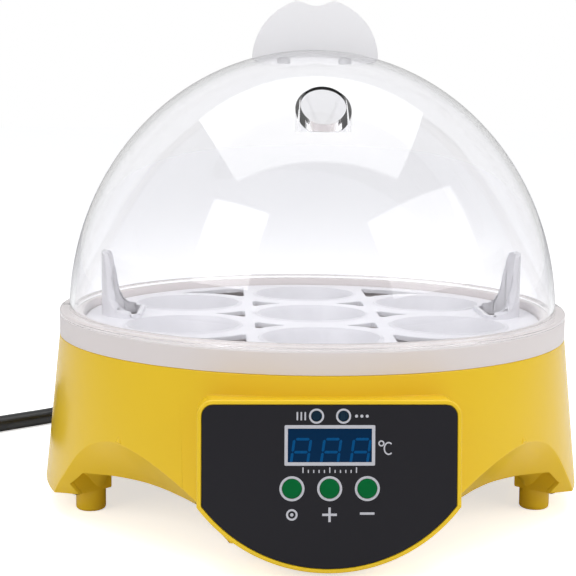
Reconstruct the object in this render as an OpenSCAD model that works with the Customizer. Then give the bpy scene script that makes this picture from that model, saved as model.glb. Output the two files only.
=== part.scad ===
// Tabletop egg incubator for seven eggs: a clear lift-off dome on a moulded base with arches,
// a tray of egg cups over a water tub, a fan with a heating ring, and a tilted control panel.
// The floor is z = 0, the panel faces -Y, and the origin is under the middle of the body's box.

/* [Dome] */
// Outer radius of the dome at its widest level
dome_r = 104; // [96:0.5:110]
// Height of the dome from its widest level to its top
dome_rise = 112; // [85:1:135]
// Thickness of the dome's wall
dome_wall = 2; // [1.5:0.1:3]
// Thickness of the dome's flange
flange_t = 2; // [1.5:0.1:3]
// Radius of the bore of the egg watching port
port_bore_r = 8.9; // [6:0.1:12]
// Wall of the port's tube
port_wall = 1.8; // [1.2:0.1:3]
// Distance of the port from the dome's axis, towards the front
port_reach = 62; // [50:1:68]
// Half the width of the handle on top
handle_half_w = 26.3; // [18:0.1:34]
// Height of the handle above its lower corners
handle_h = 24.8; // [16:0.1:32]
// Thickness of the handle from front to back
handle_t = 13; // [9:0.5:18]

/* [Base] */
// How far the white band stands out past the dome's wall
band_ledge = 4; // [3:0.5:8]
// Height of the band's lower edge above the floor
band_z = 71; // [66:0.5:80]
// Height of the band
band_h = 8.7; // [7:0.1:12]
// How much wider the skirt is at its lower edge than at the band
skirt_flare = 6.4; // [3:0.1:9]
// Wall of the yellow shell
shell_wall = 2.4; // [1.8:0.1:3.5]
// Height of the lower edge of the legs above the floor
leg_z = 9; // [7:0.5:11]
// Height of the underside between the legs above the floor
under_z = 20.5; // [17:0.5:22]
// Radius of the pegs that the body stands on
peg_r = 6.2; // [5.5:0.1:8]
// How far the arches' roofs are tilted from the vertical
arch_tilt = 50; // [45:1:55]

/* [Tray] */
// Mouth radius of an egg cup
cup_r = 22.5; // [18:0.1:23.5]
// Distance between neighbouring cups
cup_pitch = 63; // [58:0.5:64]
// Depth of the cups
cup_depth = 14; // [10:0.5:15]
// Thickness of the tray's plate
tray_t = 2; // [1.6:0.1:2.6]
// Height of the lifting lugs
lug_h = 27; // [15:1:32]

/* [Tub] */
// Wall of the white tub
tub_wall = 2.2; // [1.6:0.1:3]
// Height of the tub's floor above the surface that the body stands on
tub_floor_z = 44.7; // [43.5:0.1:48]
// Radius of the air opening in the tub's floor
air_r = 27; // [24:0.5:28]

/* [Panel] */
// Width of the black overlay
label_w = 91; // [80:0.5:92]
// Height of the overlay
label_h = 58.5; // [54:0.5:59]
// How far the panel leans back
panel_tilt = 6; // [3:0.5:9]
// How far the panel's top edge stands out past the band
panel_stand = 10.5; // [8:0.5:16]
// Travel of the buttons
button_travel = 0.5; // [0.3:0.05:0.6]
// Distance between the buttons
button_pitch = 13.4; // [12:0.1:15]

/* [Cord] */
// Diameter of the power cord
cord_d = 8; // [6:0.1:8]

/* [Hidden] */
$fn = 96;
eps = 0.01;

// heights
band_r = dome_r + band_ledge;
panel_reach = band_r + panel_stand;
band_top_z = band_z + band_h;
flange_top_z = band_top_z + flange_t;
dome_z = band_top_z - 1.2;
dome_b = dome_rise;
port_skirt = 1.6;
dome_top_z = dome_z + dome_rise;

// tub rim, from the band inwards
lip_gap = 0.5;
flange_lip = 0.9;
lip_out_r = dome_r - dome_wall - flange_lip - lip_gap;
lip_r = lip_out_r - 2.6;
lip_h = 1.2;
tray_drop = 2.2;
tray_top_z = band_top_z - tray_drop;
tray_z = tray_top_z - tray_t;
tray_gap = 0.5;
tray_r = lip_r - tray_gap;
ledge_w = 5.5;
tub_top_r = lip_r - ledge_w;
tub_low_r = tub_top_r - 4;
collar_h = 5.3;
collar_z = tub_floor_z + collar_h;
water_wall_h = 7;
water_rs = [45, 66];

// skirt
skirt_h = band_z - leg_z;
skirt_foot_r = band_r + skirt_flare;
function skirt_r(z) = band_r + skirt_flare * (band_z - z) / skirt_h;
pod_r = band_r - 16;
cover_t = 2;
fit_gap = 0.3;
seat_t = 2.4;
seat_in_r = band_r - 9.2;

// panel, in its own frame: x across, y up along the panel, z out of it
bezel_rim = 1.7;
label_arc_r = 57.3;
label_corner = 4;
label_side = label_w / 2;
panel_z = 62.7;
recess = 0.8;
plate_t = 2.2;
plate_back = -recess - plate_t;
boss_depth = 25;
boss_wall = 2.2;
panel_foot = label_h + bezel_rim;
front_reach = panel_reach + panel_foot * sin(panel_tilt);
axis_y = (front_reach - skirt_foot_r) / 2;

// panel fittings
led_xs = [-4.8, 4.8];
led_y = -4;
led_r = 1.9;
window_w = 31.8;
window_h = 14;
window_y = -14.4;
window_t = 2.6;
button_y = -29.8;
button_xs = [-button_pitch, 0, button_pitch];
button_r = 3.5;
button_gap = 0.4;
button_flange_r = 5.2;
button_flange_t = 1;
button_rest = 0.3;
board_front = -9.5;
board_t = 1.6;
board_w = 66;
board_top = -1.5;
board_low = -36;
switch_top = -5.9;
post_xy = [[-29, -6], [29, -6], [-29, -33], [29, -33]];
back_post_x = 36.5;
back_post_y = -38;
back_cover_y = -30;
back_t = 2;

// arch outline at the skirt: distance round a skirt of radius arch_rule_r, height above the floor
arch_rule_r = 108;
arch_rule = [[-51, 2], [-44.7, 11], [-36.7, 21.7], [-21, 34.1], [0, 40.7], [20, 38.1],
    [37, 29.9], [45, 25.7], [60, 12.5], [67, 2]];
arch_steps = 3;
arch_foot = -45;
arch_in = 50;
arch_out = 45;
arch_wall = 2.2;
arch_az = 224;

// feet and posts
peg_x = band_r - 15;
peg_y = peg_x / 3;
screw_r = 1.5;
screw_hole_r = 1.6;
head_r = 2.8;
head_h = 2.2;
peg_bore_r = 3.2;
peg_bore_h = 7.5;
post_r = 4.5;
post_top_z = 34;

// tub screws
tub_screw_az = [30, 150, 210, 330];
// the screws stand in from the skirt's inner face, which flares clear of their heads
tub_screw_in = 2.6;
tub_screw_r = band_r - shell_wall - tub_screw_in;

// fan
fan_side = 60;
fan_h = 15;
fan_top_z = tub_floor_z - tub_wall;
fan_z = fan_top_z - fan_h;
fan_screw_xy = 25;
hub_r = 11;
blade_tip_r = 25.6;
blades = 7;
shaft_r = 1.5;
shaft_gap = 0.05;
hub_z = fan_z + 3.6;
hub_top_z = fan_top_z - 1.6;

// heater, sensor
heater_r = 27;
heater_tube_r = 3;
heater_z = 57.5;
clip_az = [90, 210, 330];
well_x = 36.4;
grommet_r = 3;

// power board
board_x = 30;
board_y0 = 34;
board_y1 = 76;
board_z = under_z + cover_t + 4;
power_board_t = 1.6;
board_top_z = board_z + power_board_t;
stand_xy = [[-26, 38], [26, 38], [-26, 72], [26, 72]];

// gland and cord
gland_az = 98;
gland_z = 24;
gland_bore_r = 5.6;
gland_len = 28;
// inner leads stop this far from the faces they come out of
lead_gap = 0.2;
gland_out_r = skirt_r(gland_z) + 0.6;
cord_r = cord_d / 2;
gland_tip_r = gland_out_r + gland_len;
cord_start = [gland_tip_r * cos(gland_az), axis_y + gland_tip_r * sin(gland_az), gland_z];
// the cord's route: distance from the gland's tip across and back, height above the floor
cord_steps = [[-1.8, 12.7, 24], [-8.3, 24.7, 22], [-18.3, 34.7, 17], [-32.3, 39.7, 11],
    [-47.3, 38.7, 6.5], [-62.3, 32.7, 4.3], [-76.3, 22.7, 4.1], [-88.3, 9.7, 4.1],
    [-99.3, -2.3, 4.1], [-110.3, -14.3, 4.1], [-122.3, -24.3, 4.1], [-134.3, -34.3, 4.1],
    [-143.3, -41.3, 4.1], [-152.3, -46.3, 4.1]];
cord_route = [for (q = cord_steps) [cord_start.x + q.x, cord_start.y + q.y, q.z]];
coil_x = cord_start.x - 194.3;
coil_y = cord_start.y - 9.3;
coil_in_r = 36;
coil_out_r = 52;
coil_h = 16;
plug_x = coil_x - 48;
plug_y = coil_y + 29.7;
plug_boot = 11;
plug_len = 28;
plug_w = 22;
plug_h = 17;
blade_len = 16;
blade_w = 6.3;
blade_t = 1.5;
blade_pitch = 12.7;

yellow = "#e6c33c";
white = "#e9e6e8";

// ---- helpers ----

function unit(v) = v / norm(v);

// point t of the smooth curve through p1 and p2, with neighbours p0 and p3
function curve_at(p0, p1, p2, p3, t) = 0.5 * (2 * p1 + (p2 - p0) * t
    + (2 * p0 - 5 * p1 + 4 * p2 - p3) * t * t + (3 * p1 - p0 - 3 * p2 + p3) * t * t * t);

function smooth(p, steps) = [for (i = [0 : len(p) - 2]) for (s = [0 : steps - 1])
    curve_at(p[max(i - 1, 0)], p[i], p[i + 1], p[min(i + 2, len(p) - 1)], s / steps),
    p[len(p) - 1]];

// a closed outline whose points run clockwise, moved outwards by g
function grown(p, g) = [for (i = [0 : len(p) - 1])
    let (n = len(p), a = unit(p[i] - p[(i + n - 1) % n]), b = unit(p[(i + 1) % n] - p[i]),
        na = [-a.y, a.x], nb = [-b.y, b.x])
    p[i] + g * (na + nb) / (1 + na * nb)];

// a round tube along points; ref is a direction that the route never takes
module tube(p, r, sides = 8, ref = [0, 0, 1]) {
    n = len(p);
    rings = [for (i = [0 : n - 1])
        let (d = unit(p[min(i + 1, n - 1)] - p[max(i - 1, 0)]), s = unit(cross(d, ref)),
            u = cross(s, d))
        for (k = [0 : sides - 1]) p[i] + r * (cos(k * 360 / sides) * s + sin(k * 360 / sides) * u)];
    sidewall = [for (i = [0 : n - 2]) for (k = [0 : sides - 1]) let (m = (k + 1) % sides)
        [i * sides + k, i * sides + m, (i + 1) * sides + m, (i + 1) * sides + k]];
    polyhedron(rings, concat([[for (k = [sides - 1 : -1 : 0]) k]], sidewall,
        [[for (k = [0 : sides - 1]) (n - 1) * sides + k]]));
}

module on_axis() translate([0, axis_y, 0]) children();

module ring(r_out, r_in, h) difference() {
    cylinder(r = r_out, h = h);
    translate([0, 0, -1]) cylinder(r = r_in, h = h + 2);
}

module at_az(az, r) rotate([0, 0, az]) translate([r, 0, 0]) children();

module panel() translate([0, axis_y - panel_reach, panel_z]) rotate([90 - panel_tilt, 0, 0])
    children();

module screw(length, shank = screw_r, head = head_r) {
    cylinder(r = head, h = head_h);
    translate([0, 0, head_h - eps]) cylinder(r = shank, h = length);
}

// ---- arches under the skirt ----

arch_spread = band_r / arch_rule_r;
arch_line = smooth([for (q = arch_rule) [q.x * arch_spread, q.y]], arch_steps);
arch_outline = concat([[arch_line[0].x, arch_foot]], arch_line,
    [[arch_line[len(arch_line) - 1].x, arch_foot]]);

module arch(g) translate([0, -band_r, 0]) rotate([90 - arch_tilt, 0, 0])
    translate([0, 0, -arch_in]) linear_extrude(arch_in + arch_out)
        polygon([for (q = grown(arch_outline, g)) [q.x, q.y * cos(arch_tilt)]]);

module arches(g) for (mx = [0, 1], my = [0, 1]) mirror([mx, 0, 0]) mirror([0, my, 0])
    rotate([0, 0, arch_az + 90]) arch(g);

// ---- panel outlines ----

module label_shape(g) intersection() {
    translate([0, label_arc_r - label_h]) circle(r = label_arc_r + g, $fn = 160);
    union() {
        translate([-label_side - g, -2 * label_h]) square([2 * label_side + 2 * g,
            2 * label_h - label_corner]);
        translate([-label_side + label_corner, -2 * label_h])
            square([2 * (label_side - label_corner), 2 * label_h + g]);
        for (s = [-1, 1]) translate([s * (label_side - label_corner), -label_corner])
            circle(r = label_corner + g, $fn = 48);
    }
}

module boss_block(g) panel() translate([0, 0, -boss_depth - g])
    linear_extrude(boss_depth + g) label_shape(bezel_rim + g);

module boss_cavity() panel() translate([0, 0, -boss_depth - 1])
    linear_extrude(boss_depth + 1 + plate_back) label_shape(bezel_rim - boss_wall);

module front_holes() {
    for (x = led_xs) translate([x, led_y, plate_back - 1]) cylinder(r = led_r + 0.2, h = 5);
    for (x = button_xs) translate([x, button_y, plate_back - 1])
        cylinder(r = button_r + button_gap, h = 5);
    translate([-window_w / 2 - 0.2, window_y - window_h / 2 - 0.2, plate_back - 1])
        cube([window_w + 0.4, window_h + 0.4, 5]);
}

// ---- base ----

module skirt_wall() rotate_extrude($fn = 180)
    polygon([[band_r - shell_wall, band_z], [band_r, band_z], [skirt_foot_r, leg_z],
        [skirt_foot_r - shell_wall, leg_z]]);

module under_arches() intersection() {
    difference() {
        arches(arch_wall);
        arches(0);
    }
    rotate_extrude($fn = 180) polygon([[pod_r - 4.5, under_z], [pod_r, under_z], [pod_r, leg_z],
        [skirt_foot_r - 0.5, leg_z], [band_r - 0.5, band_z - 5], [pod_r - 4.5, band_z - 5]]);
}

module shell_post(x, y) {
    span = skirt_r(25) - norm([x, y]);
    difference() {
        union() {
            translate([x, y, leg_z + cover_t]) cylinder(r = post_r, h = post_top_z - leg_z - cover_t);
            rotate([0, 0, atan2(y, x)]) translate([norm([x, y]), -1.2, leg_z + cover_t + 3])
                cube([span - 1, 2.4, post_top_z - leg_z - cover_t - 5]);
        }
        translate([x, y, 0]) cylinder(r = screw_r + 0.03, h = post_top_z - 4);
    }
}

module base_shell() color(yellow) {
    difference() {
        union() {
            on_axis() {
                difference() {
                    skirt_wall();
                    arches(0);
                }
                under_arches();
                translate([0, 0, band_z - seat_t]) ring(band_r - 1, seat_in_r, seat_t);
                for (sx = [-1, 1], sy = [-1, 1]) shell_post(sx * peg_x, sy * peg_y);
            }
            difference() {
                boss_block(0);
                on_axis() translate([0, 0, 30]) cylinder(r = seat_in_r, h = 60);
            }
        }
        boss_cavity();
        panel() {
            translate([0, 0, -recess]) linear_extrude(5) label_shape(0.1);
            front_holes();
        }
        on_axis() {
            for (az = tub_screw_az) at_az(az, tub_screw_r) translate([0, 0, band_z - 5])
                cylinder(r = screw_hole_r, h = 10);
            at_az(gland_az, skirt_r(gland_z) - 6) translate([0, 0, gland_z]) rotate([0, 90, 0])
                cylinder(r = gland_bore_r, h = 12);
        }
    }
    panel() {
        for (q = post_xy) translate([q.x, q.y, board_front]) ring(2.6, 1.05, plate_back - board_front);
        for (s = [-1, 1]) translate([s * back_post_x, back_post_y, -boss_depth + back_t])
            ring(3, 1.05, boss_depth - back_t + plate_back);
    }
}

module bottom_cover() color(yellow) {
    difference() {
        on_axis() difference() {
            union() {
                rotate_extrude($fn = 180) polygon([[0, under_z], [pod_r - cover_t, under_z],
                    [pod_r - cover_t, leg_z], [skirt_foot_r - shell_wall - fit_gap, leg_z],
                    [skirt_foot_r - shell_wall - fit_gap, leg_z + cover_t],
                    [pod_r, leg_z + cover_t], [pod_r, under_z + cover_t],
                    [0, under_z + cover_t]]);
                for (sx = [-1, 1], sy = [-1, 1]) translate([sx * peg_x, sy * peg_y, 0])
                    cylinder(r = peg_r, h = leg_z + 1);
            }
            arches(arch_wall + fit_gap);
            for (sx = [-1, 1], sy = [-1, 1]) translate([sx * peg_x, sy * peg_y, -1]) {
                cylinder(r = peg_bore_r, h = peg_bore_h + 1);
                cylinder(r = screw_hole_r, h = 20);
            }
            for (k = [-3 : 3]) translate([-18 + abs(k) * 1.5, k * 7 - 1.5, under_z - 1])
                cube([36 - abs(k) * 3, 3, 5]);
        }
        boss_block(fit_gap);
    }
    for (q = stand_xy) translate([q.x, axis_y + q.y, under_z + cover_t - eps])
        ring(2.8, 1.05, board_z - under_z - cover_t);
}

module cover_screws() color("silver") on_axis() for (sx = [-1, 1], sy = [-1, 1])
    translate([sx * peg_x, sy * peg_y, peg_bore_h - head_h]) screw(19);

module tub_screws() color("silver") on_axis() for (az = tub_screw_az) at_az(az, tub_screw_r)
    translate([0, 0, band_z - seat_t - head_h]) screw(7);

// ---- tub ----

tab_w = 6;
tab_z = band_z + 3;

module inner_tub() color(white) on_axis() {
    w = tub_wall;
    under = tray_z - w;
    difference() {
        union() {
            rotate_extrude($fn = 180) polygon([[band_r, band_z], [band_r, band_top_z],
                [lip_out_r, band_top_z], [lip_out_r, band_top_z + lip_h], [lip_r, band_top_z + lip_h],
                [lip_r, tray_z], [tub_top_r, tray_z], [tub_low_r, tub_floor_z],
                [air_r + w, tub_floor_z], [air_r + w, collar_z], [air_r, collar_z],
                [air_r, fan_top_z], [tub_low_r + w, fan_top_z], [tub_top_r + w, under],
                [lip_out_r, under], [lip_out_r, band_top_z - w], [band_r - w, band_top_z - w],
                [band_r - w, band_z]]);
            for (r = water_rs) translate([0, 0, tub_floor_z - eps]) ring(r + 1.6, r, water_wall_h);
            for (az = [45 : 90 : 315]) at_az(az, water_rs[0] + 0.8)
                translate([0, -0.8, tub_floor_z - eps]) cube([water_rs[1] - water_rs[0], 1.6,
                    water_wall_h - 2]);
            for (az = tub_screw_az) at_az(az, tub_screw_r) translate([0, 0, band_z])
                cylinder(r = 3.2, h = band_h - w + eps);
            for (sx = [-1, 1], sy = [-1, 1]) translate([sx * fan_screw_xy, sy * fan_screw_xy,
                tub_floor_z - eps]) cylinder(r = 3.4, h = 5.5);
        }
        for (az = tub_screw_az) at_az(az, tub_screw_r) translate([0, 0, band_z - 1])
            cylinder(r = screw_r + 0.03, h = 7);
        for (sx = [-1, 1], sy = [-1, 1]) translate([sx * fan_screw_xy, sy * fan_screw_xy,
            fan_top_z - 1]) cylinder(r = screw_r + 0.03, h = 7);
        for (s = [-1, 1]) {
            translate([s * well_x, 0, fan_top_z - 1]) cylinder(r = grommet_r, h = 5);
            translate([s * (dome_r + 2.4), 0, tab_z - 0.6 + 5])
                cube([8.8, tab_w + 1, 10], center = true);
        }
    }
}

// ---- fan ----

module fan_frame() color("#2c2c30") on_axis() {
    difference() {
        translate([-fan_side / 2, -fan_side / 2, fan_z]) cube([fan_side, fan_side, fan_h]);
        translate([0, 0, fan_z - 1]) cylinder(r = blade_tip_r + 0.9, h = fan_h + 2);
        for (sx = [-1, 1], sy = [-1, 1]) translate([sx * fan_screw_xy, sy * fan_screw_xy, fan_z - 1])
            cylinder(r = screw_hole_r, h = fan_h + 2);
    }
    translate([0, 0, fan_z]) ring(hub_r, shaft_r + shaft_gap, 2);
    translate([0, 0, fan_z]) ring(3.4, shaft_r + shaft_gap, 3.2);
    for (az = [30, 150, 270]) rotate([0, 0, az]) translate([hub_r - 0.5, -2, fan_z])
        cube([blade_tip_r + 1.6 - hub_r, 4, 2]);
}

module fan_blade() translate([hub_r - 0.6, 0, (hub_z + hub_top_z) / 2])
    rotate([38, 0, 0]) translate([0, -0.7, -6.2]) cube([blade_tip_r - hub_r, 1.4, 12.4]);

module fan_rotor() color("#3a3a40") on_axis() {
    translate([0, 0, hub_z]) cylinder(r = hub_r, h = hub_top_z - hub_z);
    translate([0, 0, fan_z - 0.5]) cylinder(r = shaft_r, h = hub_z - fan_z + 0.6);
    intersection() {
        for (k = [0 : blades - 1]) rotate([0, 0, k * 360 / blades]) fan_blade();
        translate([0, 0, hub_z]) cylinder(r = blade_tip_r, h = hub_top_z - hub_z);
    }
}

module fan_grille() color("#d8d8dc") on_axis() {
    translate([0, 0, collar_z - 4]) ring(air_r + tub_wall + 1.7, air_r + tub_wall + 0.1, 5.6);
    for (r = [9, 16, 23]) translate([0, 0, collar_z]) ring(r + 0.9, r - 0.9, 1.6);
    for (az = [0 : 60 : 300]) rotate([0, 0, az]) translate([0, -0.9, collar_z])
        cube([air_r + tub_wall + 1, 1.8, 1.6]);
}

module fan_screws() color("silver") on_axis() for (sx = [-1, 1], sy = [-1, 1])
    translate([sx * fan_screw_xy, sy * fan_screw_xy, fan_z - head_h]) screw(20);

// ---- heater and sensor ----

module heater_ring() color("#b9a58c") on_axis() {
    translate([0, 0, heater_z]) rotate_extrude() translate([heater_r, 0])
        circle(r = heater_tube_r, $fn = 24);
    translate([heater_r, 0, heater_z - 2]) cube([5.5, 3, 4]);
    translate([heater_r, -4.2, heater_z - 2]) cube([5.5, 3, 4]);
}

module heater_clips() color("#8f9094") on_axis() for (az = clip_az) difference() {
    at_az(az, heater_r + 6.4) {
        translate([0, 0, tub_floor_z]) cylinder(r = 1.6, h = heater_z - tub_floor_z);
        translate([-5, -2, heater_z - heater_tube_r - 1.2]) cube([6.6, 4, heater_tube_r + 3]);
    }
    translate([0, 0, heater_z]) rotate_extrude() translate([heater_r, 0])
        circle(r = heater_tube_r + 0.02, $fn = 24);
    translate([0, 0, fan_z]) cylinder(r = air_r + tub_wall + 1.9, h = collar_z - fan_z + 2);
}

function lead_y(s) = s > 0 ? 1.5 : -2.7;

module heater_leads() color("#b03226") on_axis() for (s = [-1, 1])
    tube([[heater_r + 5.5, lead_y(s), heater_z], [heater_r + 7, lead_y(s), heater_z],
        [well_x - 0.6, s * 1.5, heater_z - 2.5], [well_x, s * 1.3, heater_z - 7],
        [well_x, s * 1.3, fan_top_z + 1], [well_x, s * 1.3, fan_top_z - 5],
        [well_x + s * 0.6, 3 + s, fan_top_z - 10], [well_x - 1 + s * 1.2, 14, fan_top_z - 12],
        [well_x - 2 + s * 1.2, 28, fan_top_z - 9], [29 + s * 1.4, 39, board_top_z + 7.5],
        [23 + s * 1.4, 47, board_top_z + 7]], 0.9, 8, [1, 0.1, 0]);

module temp_sensor() color("#202124") on_axis() translate([-well_x, 0, tub_floor_z + 2]) {
    cylinder(r = 2.3, h = 16);
    translate([0, 0, 16]) sphere(r = 2.3, $fn = 32);
}

module sensor_lead() color("#303136") on_axis()
    tube([[-well_x, 0, tub_floor_z + 2], [-well_x, 0, fan_top_z - 4],
        [-well_x + 0.5, 3, fan_top_z - 10], [-well_x + 2, 14, fan_top_z - 13],
        [-33, 28, board_top_z + 5], [-26, 40, board_top_z + 4], [-20, 46, board_top_z + 1]],
        1.1, 8, [1, 0.1, 0]);

module wire_grommets() color("#26262a") on_axis() for (s = [-1, 1])
    translate([s * well_x, 0, 0]) {
        translate([0, 0, fan_top_z - 1.2]) difference() {
            union() {
                cylinder(r = 4.4, h = 1.2);
                cylinder(r = grommet_r - 0.02, h = tub_wall + 2);
                translate([0, 0, tub_wall + 1.2]) cylinder(r = 4.4, h = 1);
            }
            translate([0, 0, -1]) cylinder(r = 2.35, h = 8);
        }
    }

// ---- power board ----

module power_board() color("#2d6b3c") on_axis() difference() {
    translate([-board_x, board_y0, board_z]) cube([2 * board_x, board_y1 - board_y0, power_board_t]);
    for (q = stand_xy) translate([q.x, q.y, board_z - 1]) cylinder(r = 1.3, h = 4);
}

module board_screws() color("silver") on_axis() for (q = stand_xy)
    translate([q.x, q.y, board_top_z]) {
        cylinder(r = 2.3, h = 1.5);
        translate([0, 0, -4.5]) cylinder(r = 1, h = 4.6);
    }

module transformer() color("#d9b43a") on_axis() translate([-12, 60, board_top_z]) {
    translate([-9, -7, 0]) cube([18, 14, 2]);
    translate([-5.5, -6, 2]) cube([11, 12, 7.5]);
    translate([-9, -4.5, 4]) difference() {
        cube([18, 9, 4]);
        translate([3.5, -1, -1]) cube([11, 11, 6]);
    }
}

module smoothing_capacitor() color("#20242c") on_axis() translate([6, 64, board_top_z]) {
    cylinder(r = 4.8, h = 10);
    translate([0, 0, 10 - eps]) cylinder(r = 4.2, h = 0.5);
}

module heater_relay() color("#2c5aa0") on_axis() translate([12, 50, board_top_z])
    cube([15, 12, 11]);

module terminal_block() color("#3d9a52") on_axis() translate([-4, 70, board_top_z]) {
    difference() {
        cube([18, 6, 9]);
        for (k = [0 : 2]) translate([3 + k * 6, 3, 5]) cylinder(r = 1.7, h = 6);
        for (k = [0 : 2]) translate([3 + k * 6, 2, 3.2]) rotate([-90, 0, 0]) cylinder(r = 1.6, h = 6);
    }
}

// a point inside the strain relief's inner face: inwards from it, and sideways along it
function behind_gland(inwards, aside) = [
    (gland_in_r - inwards) * cos(gland_az) + aside * sin(gland_az),
    (gland_in_r - inwards) * sin(gland_az) - aside * cos(gland_az), gland_z];

module mains_lead() color("#1c1c1e") on_axis() for (s = [-1, 1])
    tube([behind_gland(lead_gap, s * 1.6), behind_gland(lead_gap + 4, s * 1.6),
        [-4 + s * 3, 90, board_top_z + 5], [2 + s * 3, 82, board_top_z + 4],
        [2 + s * 3, 76, board_top_z + 3.2]], 1.2, 8);

module fan_leads() color("#a8322a") on_axis() for (s = [-1, 1])
    tube([[-8 + s * 1.3, fan_side / 2 + lead_gap, fan_z + 6], [-8 + s * 1.3, fan_side / 2 + 3, fan_z + 6.5],
        [-7 + s * 1.3, fan_side / 2 + 8, fan_z + 4.5], [-6 + s * 1.3, fan_side / 2 + 12, board_top_z + 0.7]],
        0.8, 8);

// ---- control panel ----

module control_board() color("#2d6b3c") panel() difference() {
    translate([-board_w / 2, board_low, board_front - board_t])
        cube([board_w, board_top - board_low, board_t]);
    for (q = post_xy) translate([q.x, q.y, board_front - board_t - 1]) cylinder(r = 1.2, h = 4);
}

module control_board_screws() color("silver") panel() for (q = post_xy)
    translate([q.x, q.y, board_front - board_t - 1.5]) {
        cylinder(r = 2.2, h = 1.5);
        cylinder(r = 1, h = 6);
    }

module display_module() color("#16181c") panel()
    translate([-15, window_y - 6.4, board_front]) cube([30, 12.8, plate_back - board_front - 0.1]);

module display_window() color("#0a3c66") panel()
    translate([-window_w / 2, window_y - window_h / 2, -window_t - 0.1])
        cube([window_w, window_h, window_t]);

module panel_overlay() color("#27262b") panel() difference() {
    translate([0, 0, -recess]) linear_extrude(recess - 0.05) label_shape(-0.1);
    front_holes();
}

module indicator_leds() color("#0b3544") panel() for (x = led_xs) translate([x, led_y, 0]) {
    translate([0, 0, board_front]) cylinder(r = led_r, h = -board_front - 0.5);
    translate([0, 0, board_front]) cylinder(r = led_r + 0.5, h = 1);
}

module tact_switches() color("#1b1b1d") panel() for (x = button_xs) translate([x, button_y, 0]) {
    translate([-3, -3, board_front]) cube([6, 6, 3.1]);
    translate([0, 0, board_front]) cylinder(r = 1.7, h = switch_top - board_front);
}

module buzzer() color("#18181a") panel() translate([20, -20, board_front - board_t - 8])
    ring(6, 1, 8);

module button(x) color("#0a6e3c") panel() translate([x, button_y, 0]) {
    flange_top = plate_back - button_rest;
    translate([0, 0, flange_top - eps]) cylinder(r = button_r, h = 0.5 - flange_top);
    translate([0, 0, flange_top - button_flange_t]) cylinder(r = button_flange_r, h = button_flange_t);
    translate([0, 0, switch_top + button_travel + 0.3])
        cylinder(r = 1.6, h = flange_top - switch_top - button_travel - 0.3);
}

module button_set() button(button_xs[0]);
module button_plus() button(button_xs[1]);
module button_minus() button(button_xs[2]);

module panel_back_cover() color(yellow) panel() difference() {
    translate([0, 0, -boss_depth]) linear_extrude(back_t) intersection() {
        label_shape(bezel_rim - boss_wall - 0.15);
        translate([-60, -90]) square([120, 90 + back_cover_y]);
    }
    for (s = [-1, 1]) translate([s * back_post_x, back_post_y, -boss_depth - 1])
        cylinder(r = 1.2, h = 5);
}

module back_cover_screws() color("silver") panel() for (s = [-1, 1])
    translate([s * back_post_x, back_post_y, -boss_depth - 1.5]) {
        cylinder(r = 2.3, h = 1.5);
        cylinder(r = 1, h = 9);
    }

module board_ribbon() color("#8d8f94") on_axis()
    tube([[-24, 15.5 - panel_reach, 40], [-30, 26.5 - panel_reach, 38],
        [-41, 42.5 - panel_reach, 33], [-47, -50, 29], [-48, -20, 27],
        [-47, 8, 27], [-43, 28, 28.5], [-35, 42, board_top_z + 4], [-26, 50, board_top_z + 3],
        [-22, 52, board_top_z + 1.2]], 1.3, 8);

// ---- tray ----

cup_floor_z = tray_top_z - cup_depth;
cup_wall = 1.8;
cup_low_r = cup_r * 2 / 3;
// the tray is open between the cups, either side of two straight ribs
slot_keep_r = cup_pitch / 2 + 2;
slot_rim_r = tray_r - 9;
slot_reach = 61;
rib_in_x = 25;
rib_w = 4;
lug_x = 74;
lug_in_r = 14.5;
lug_wall = 2.2;
lug_cut_x = 75;

module each_cup() {
    children();
    for (az = [30 : 60 : 330]) at_az(az, cup_pitch) children();
}

module inner_slots() difference() {
    intersection() {
        square([2 * rib_in_x, 2 * tray_r], center = true);
        circle(r = slot_rim_r);
    }
    for (y = [-cup_pitch, 0, cup_pitch]) translate([0, y]) circle(r = slot_keep_r);
}

module outer_slots() difference() {
    intersection() {
        for (s = [-1, 1]) translate([s * (rib_in_x + rib_w + slot_reach) / 2, 0])
            square([slot_reach - rib_in_x - rib_w, 2 * tray_r], center = true);
        circle(r = slot_rim_r);
    }
    for (az = [30, 150, 210, 330]) at_az(az, cup_pitch) circle(r = slot_keep_r);
}

module lug() difference() {
    translate([lug_x, 0, 0]) difference() {
        translate([0, 0, tray_z]) cylinder(r = lug_in_r + lug_wall, h = lug_h + tray_t);
        translate([0, 0, tray_z - 1]) cylinder(r = lug_in_r, h = lug_h + 10);
    }
    // the blade tapers upwards, and the rest of the ring is a low lip round the finger hole
    translate([0, 0, tray_top_z + lug_h]) rotate([90, 0, 90])
        linear_extrude(3 * lug_x, center = true) for (s = [-1, 1])
            polygon([[s * 7, 1], [s * 11.5, -lug_h + 1.8], [s * 30, -lug_h + 1.8], [s * 30, 1]]);
    translate([lug_x - 30, -30, tray_top_z + 1.8]) cube([33, 60, lug_h]);
    translate([lug_x - 30, -30, tray_z - 1]) cube([30 + lug_cut_x - lug_x - 1.8, 60, lug_h + 5]);
}

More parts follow.
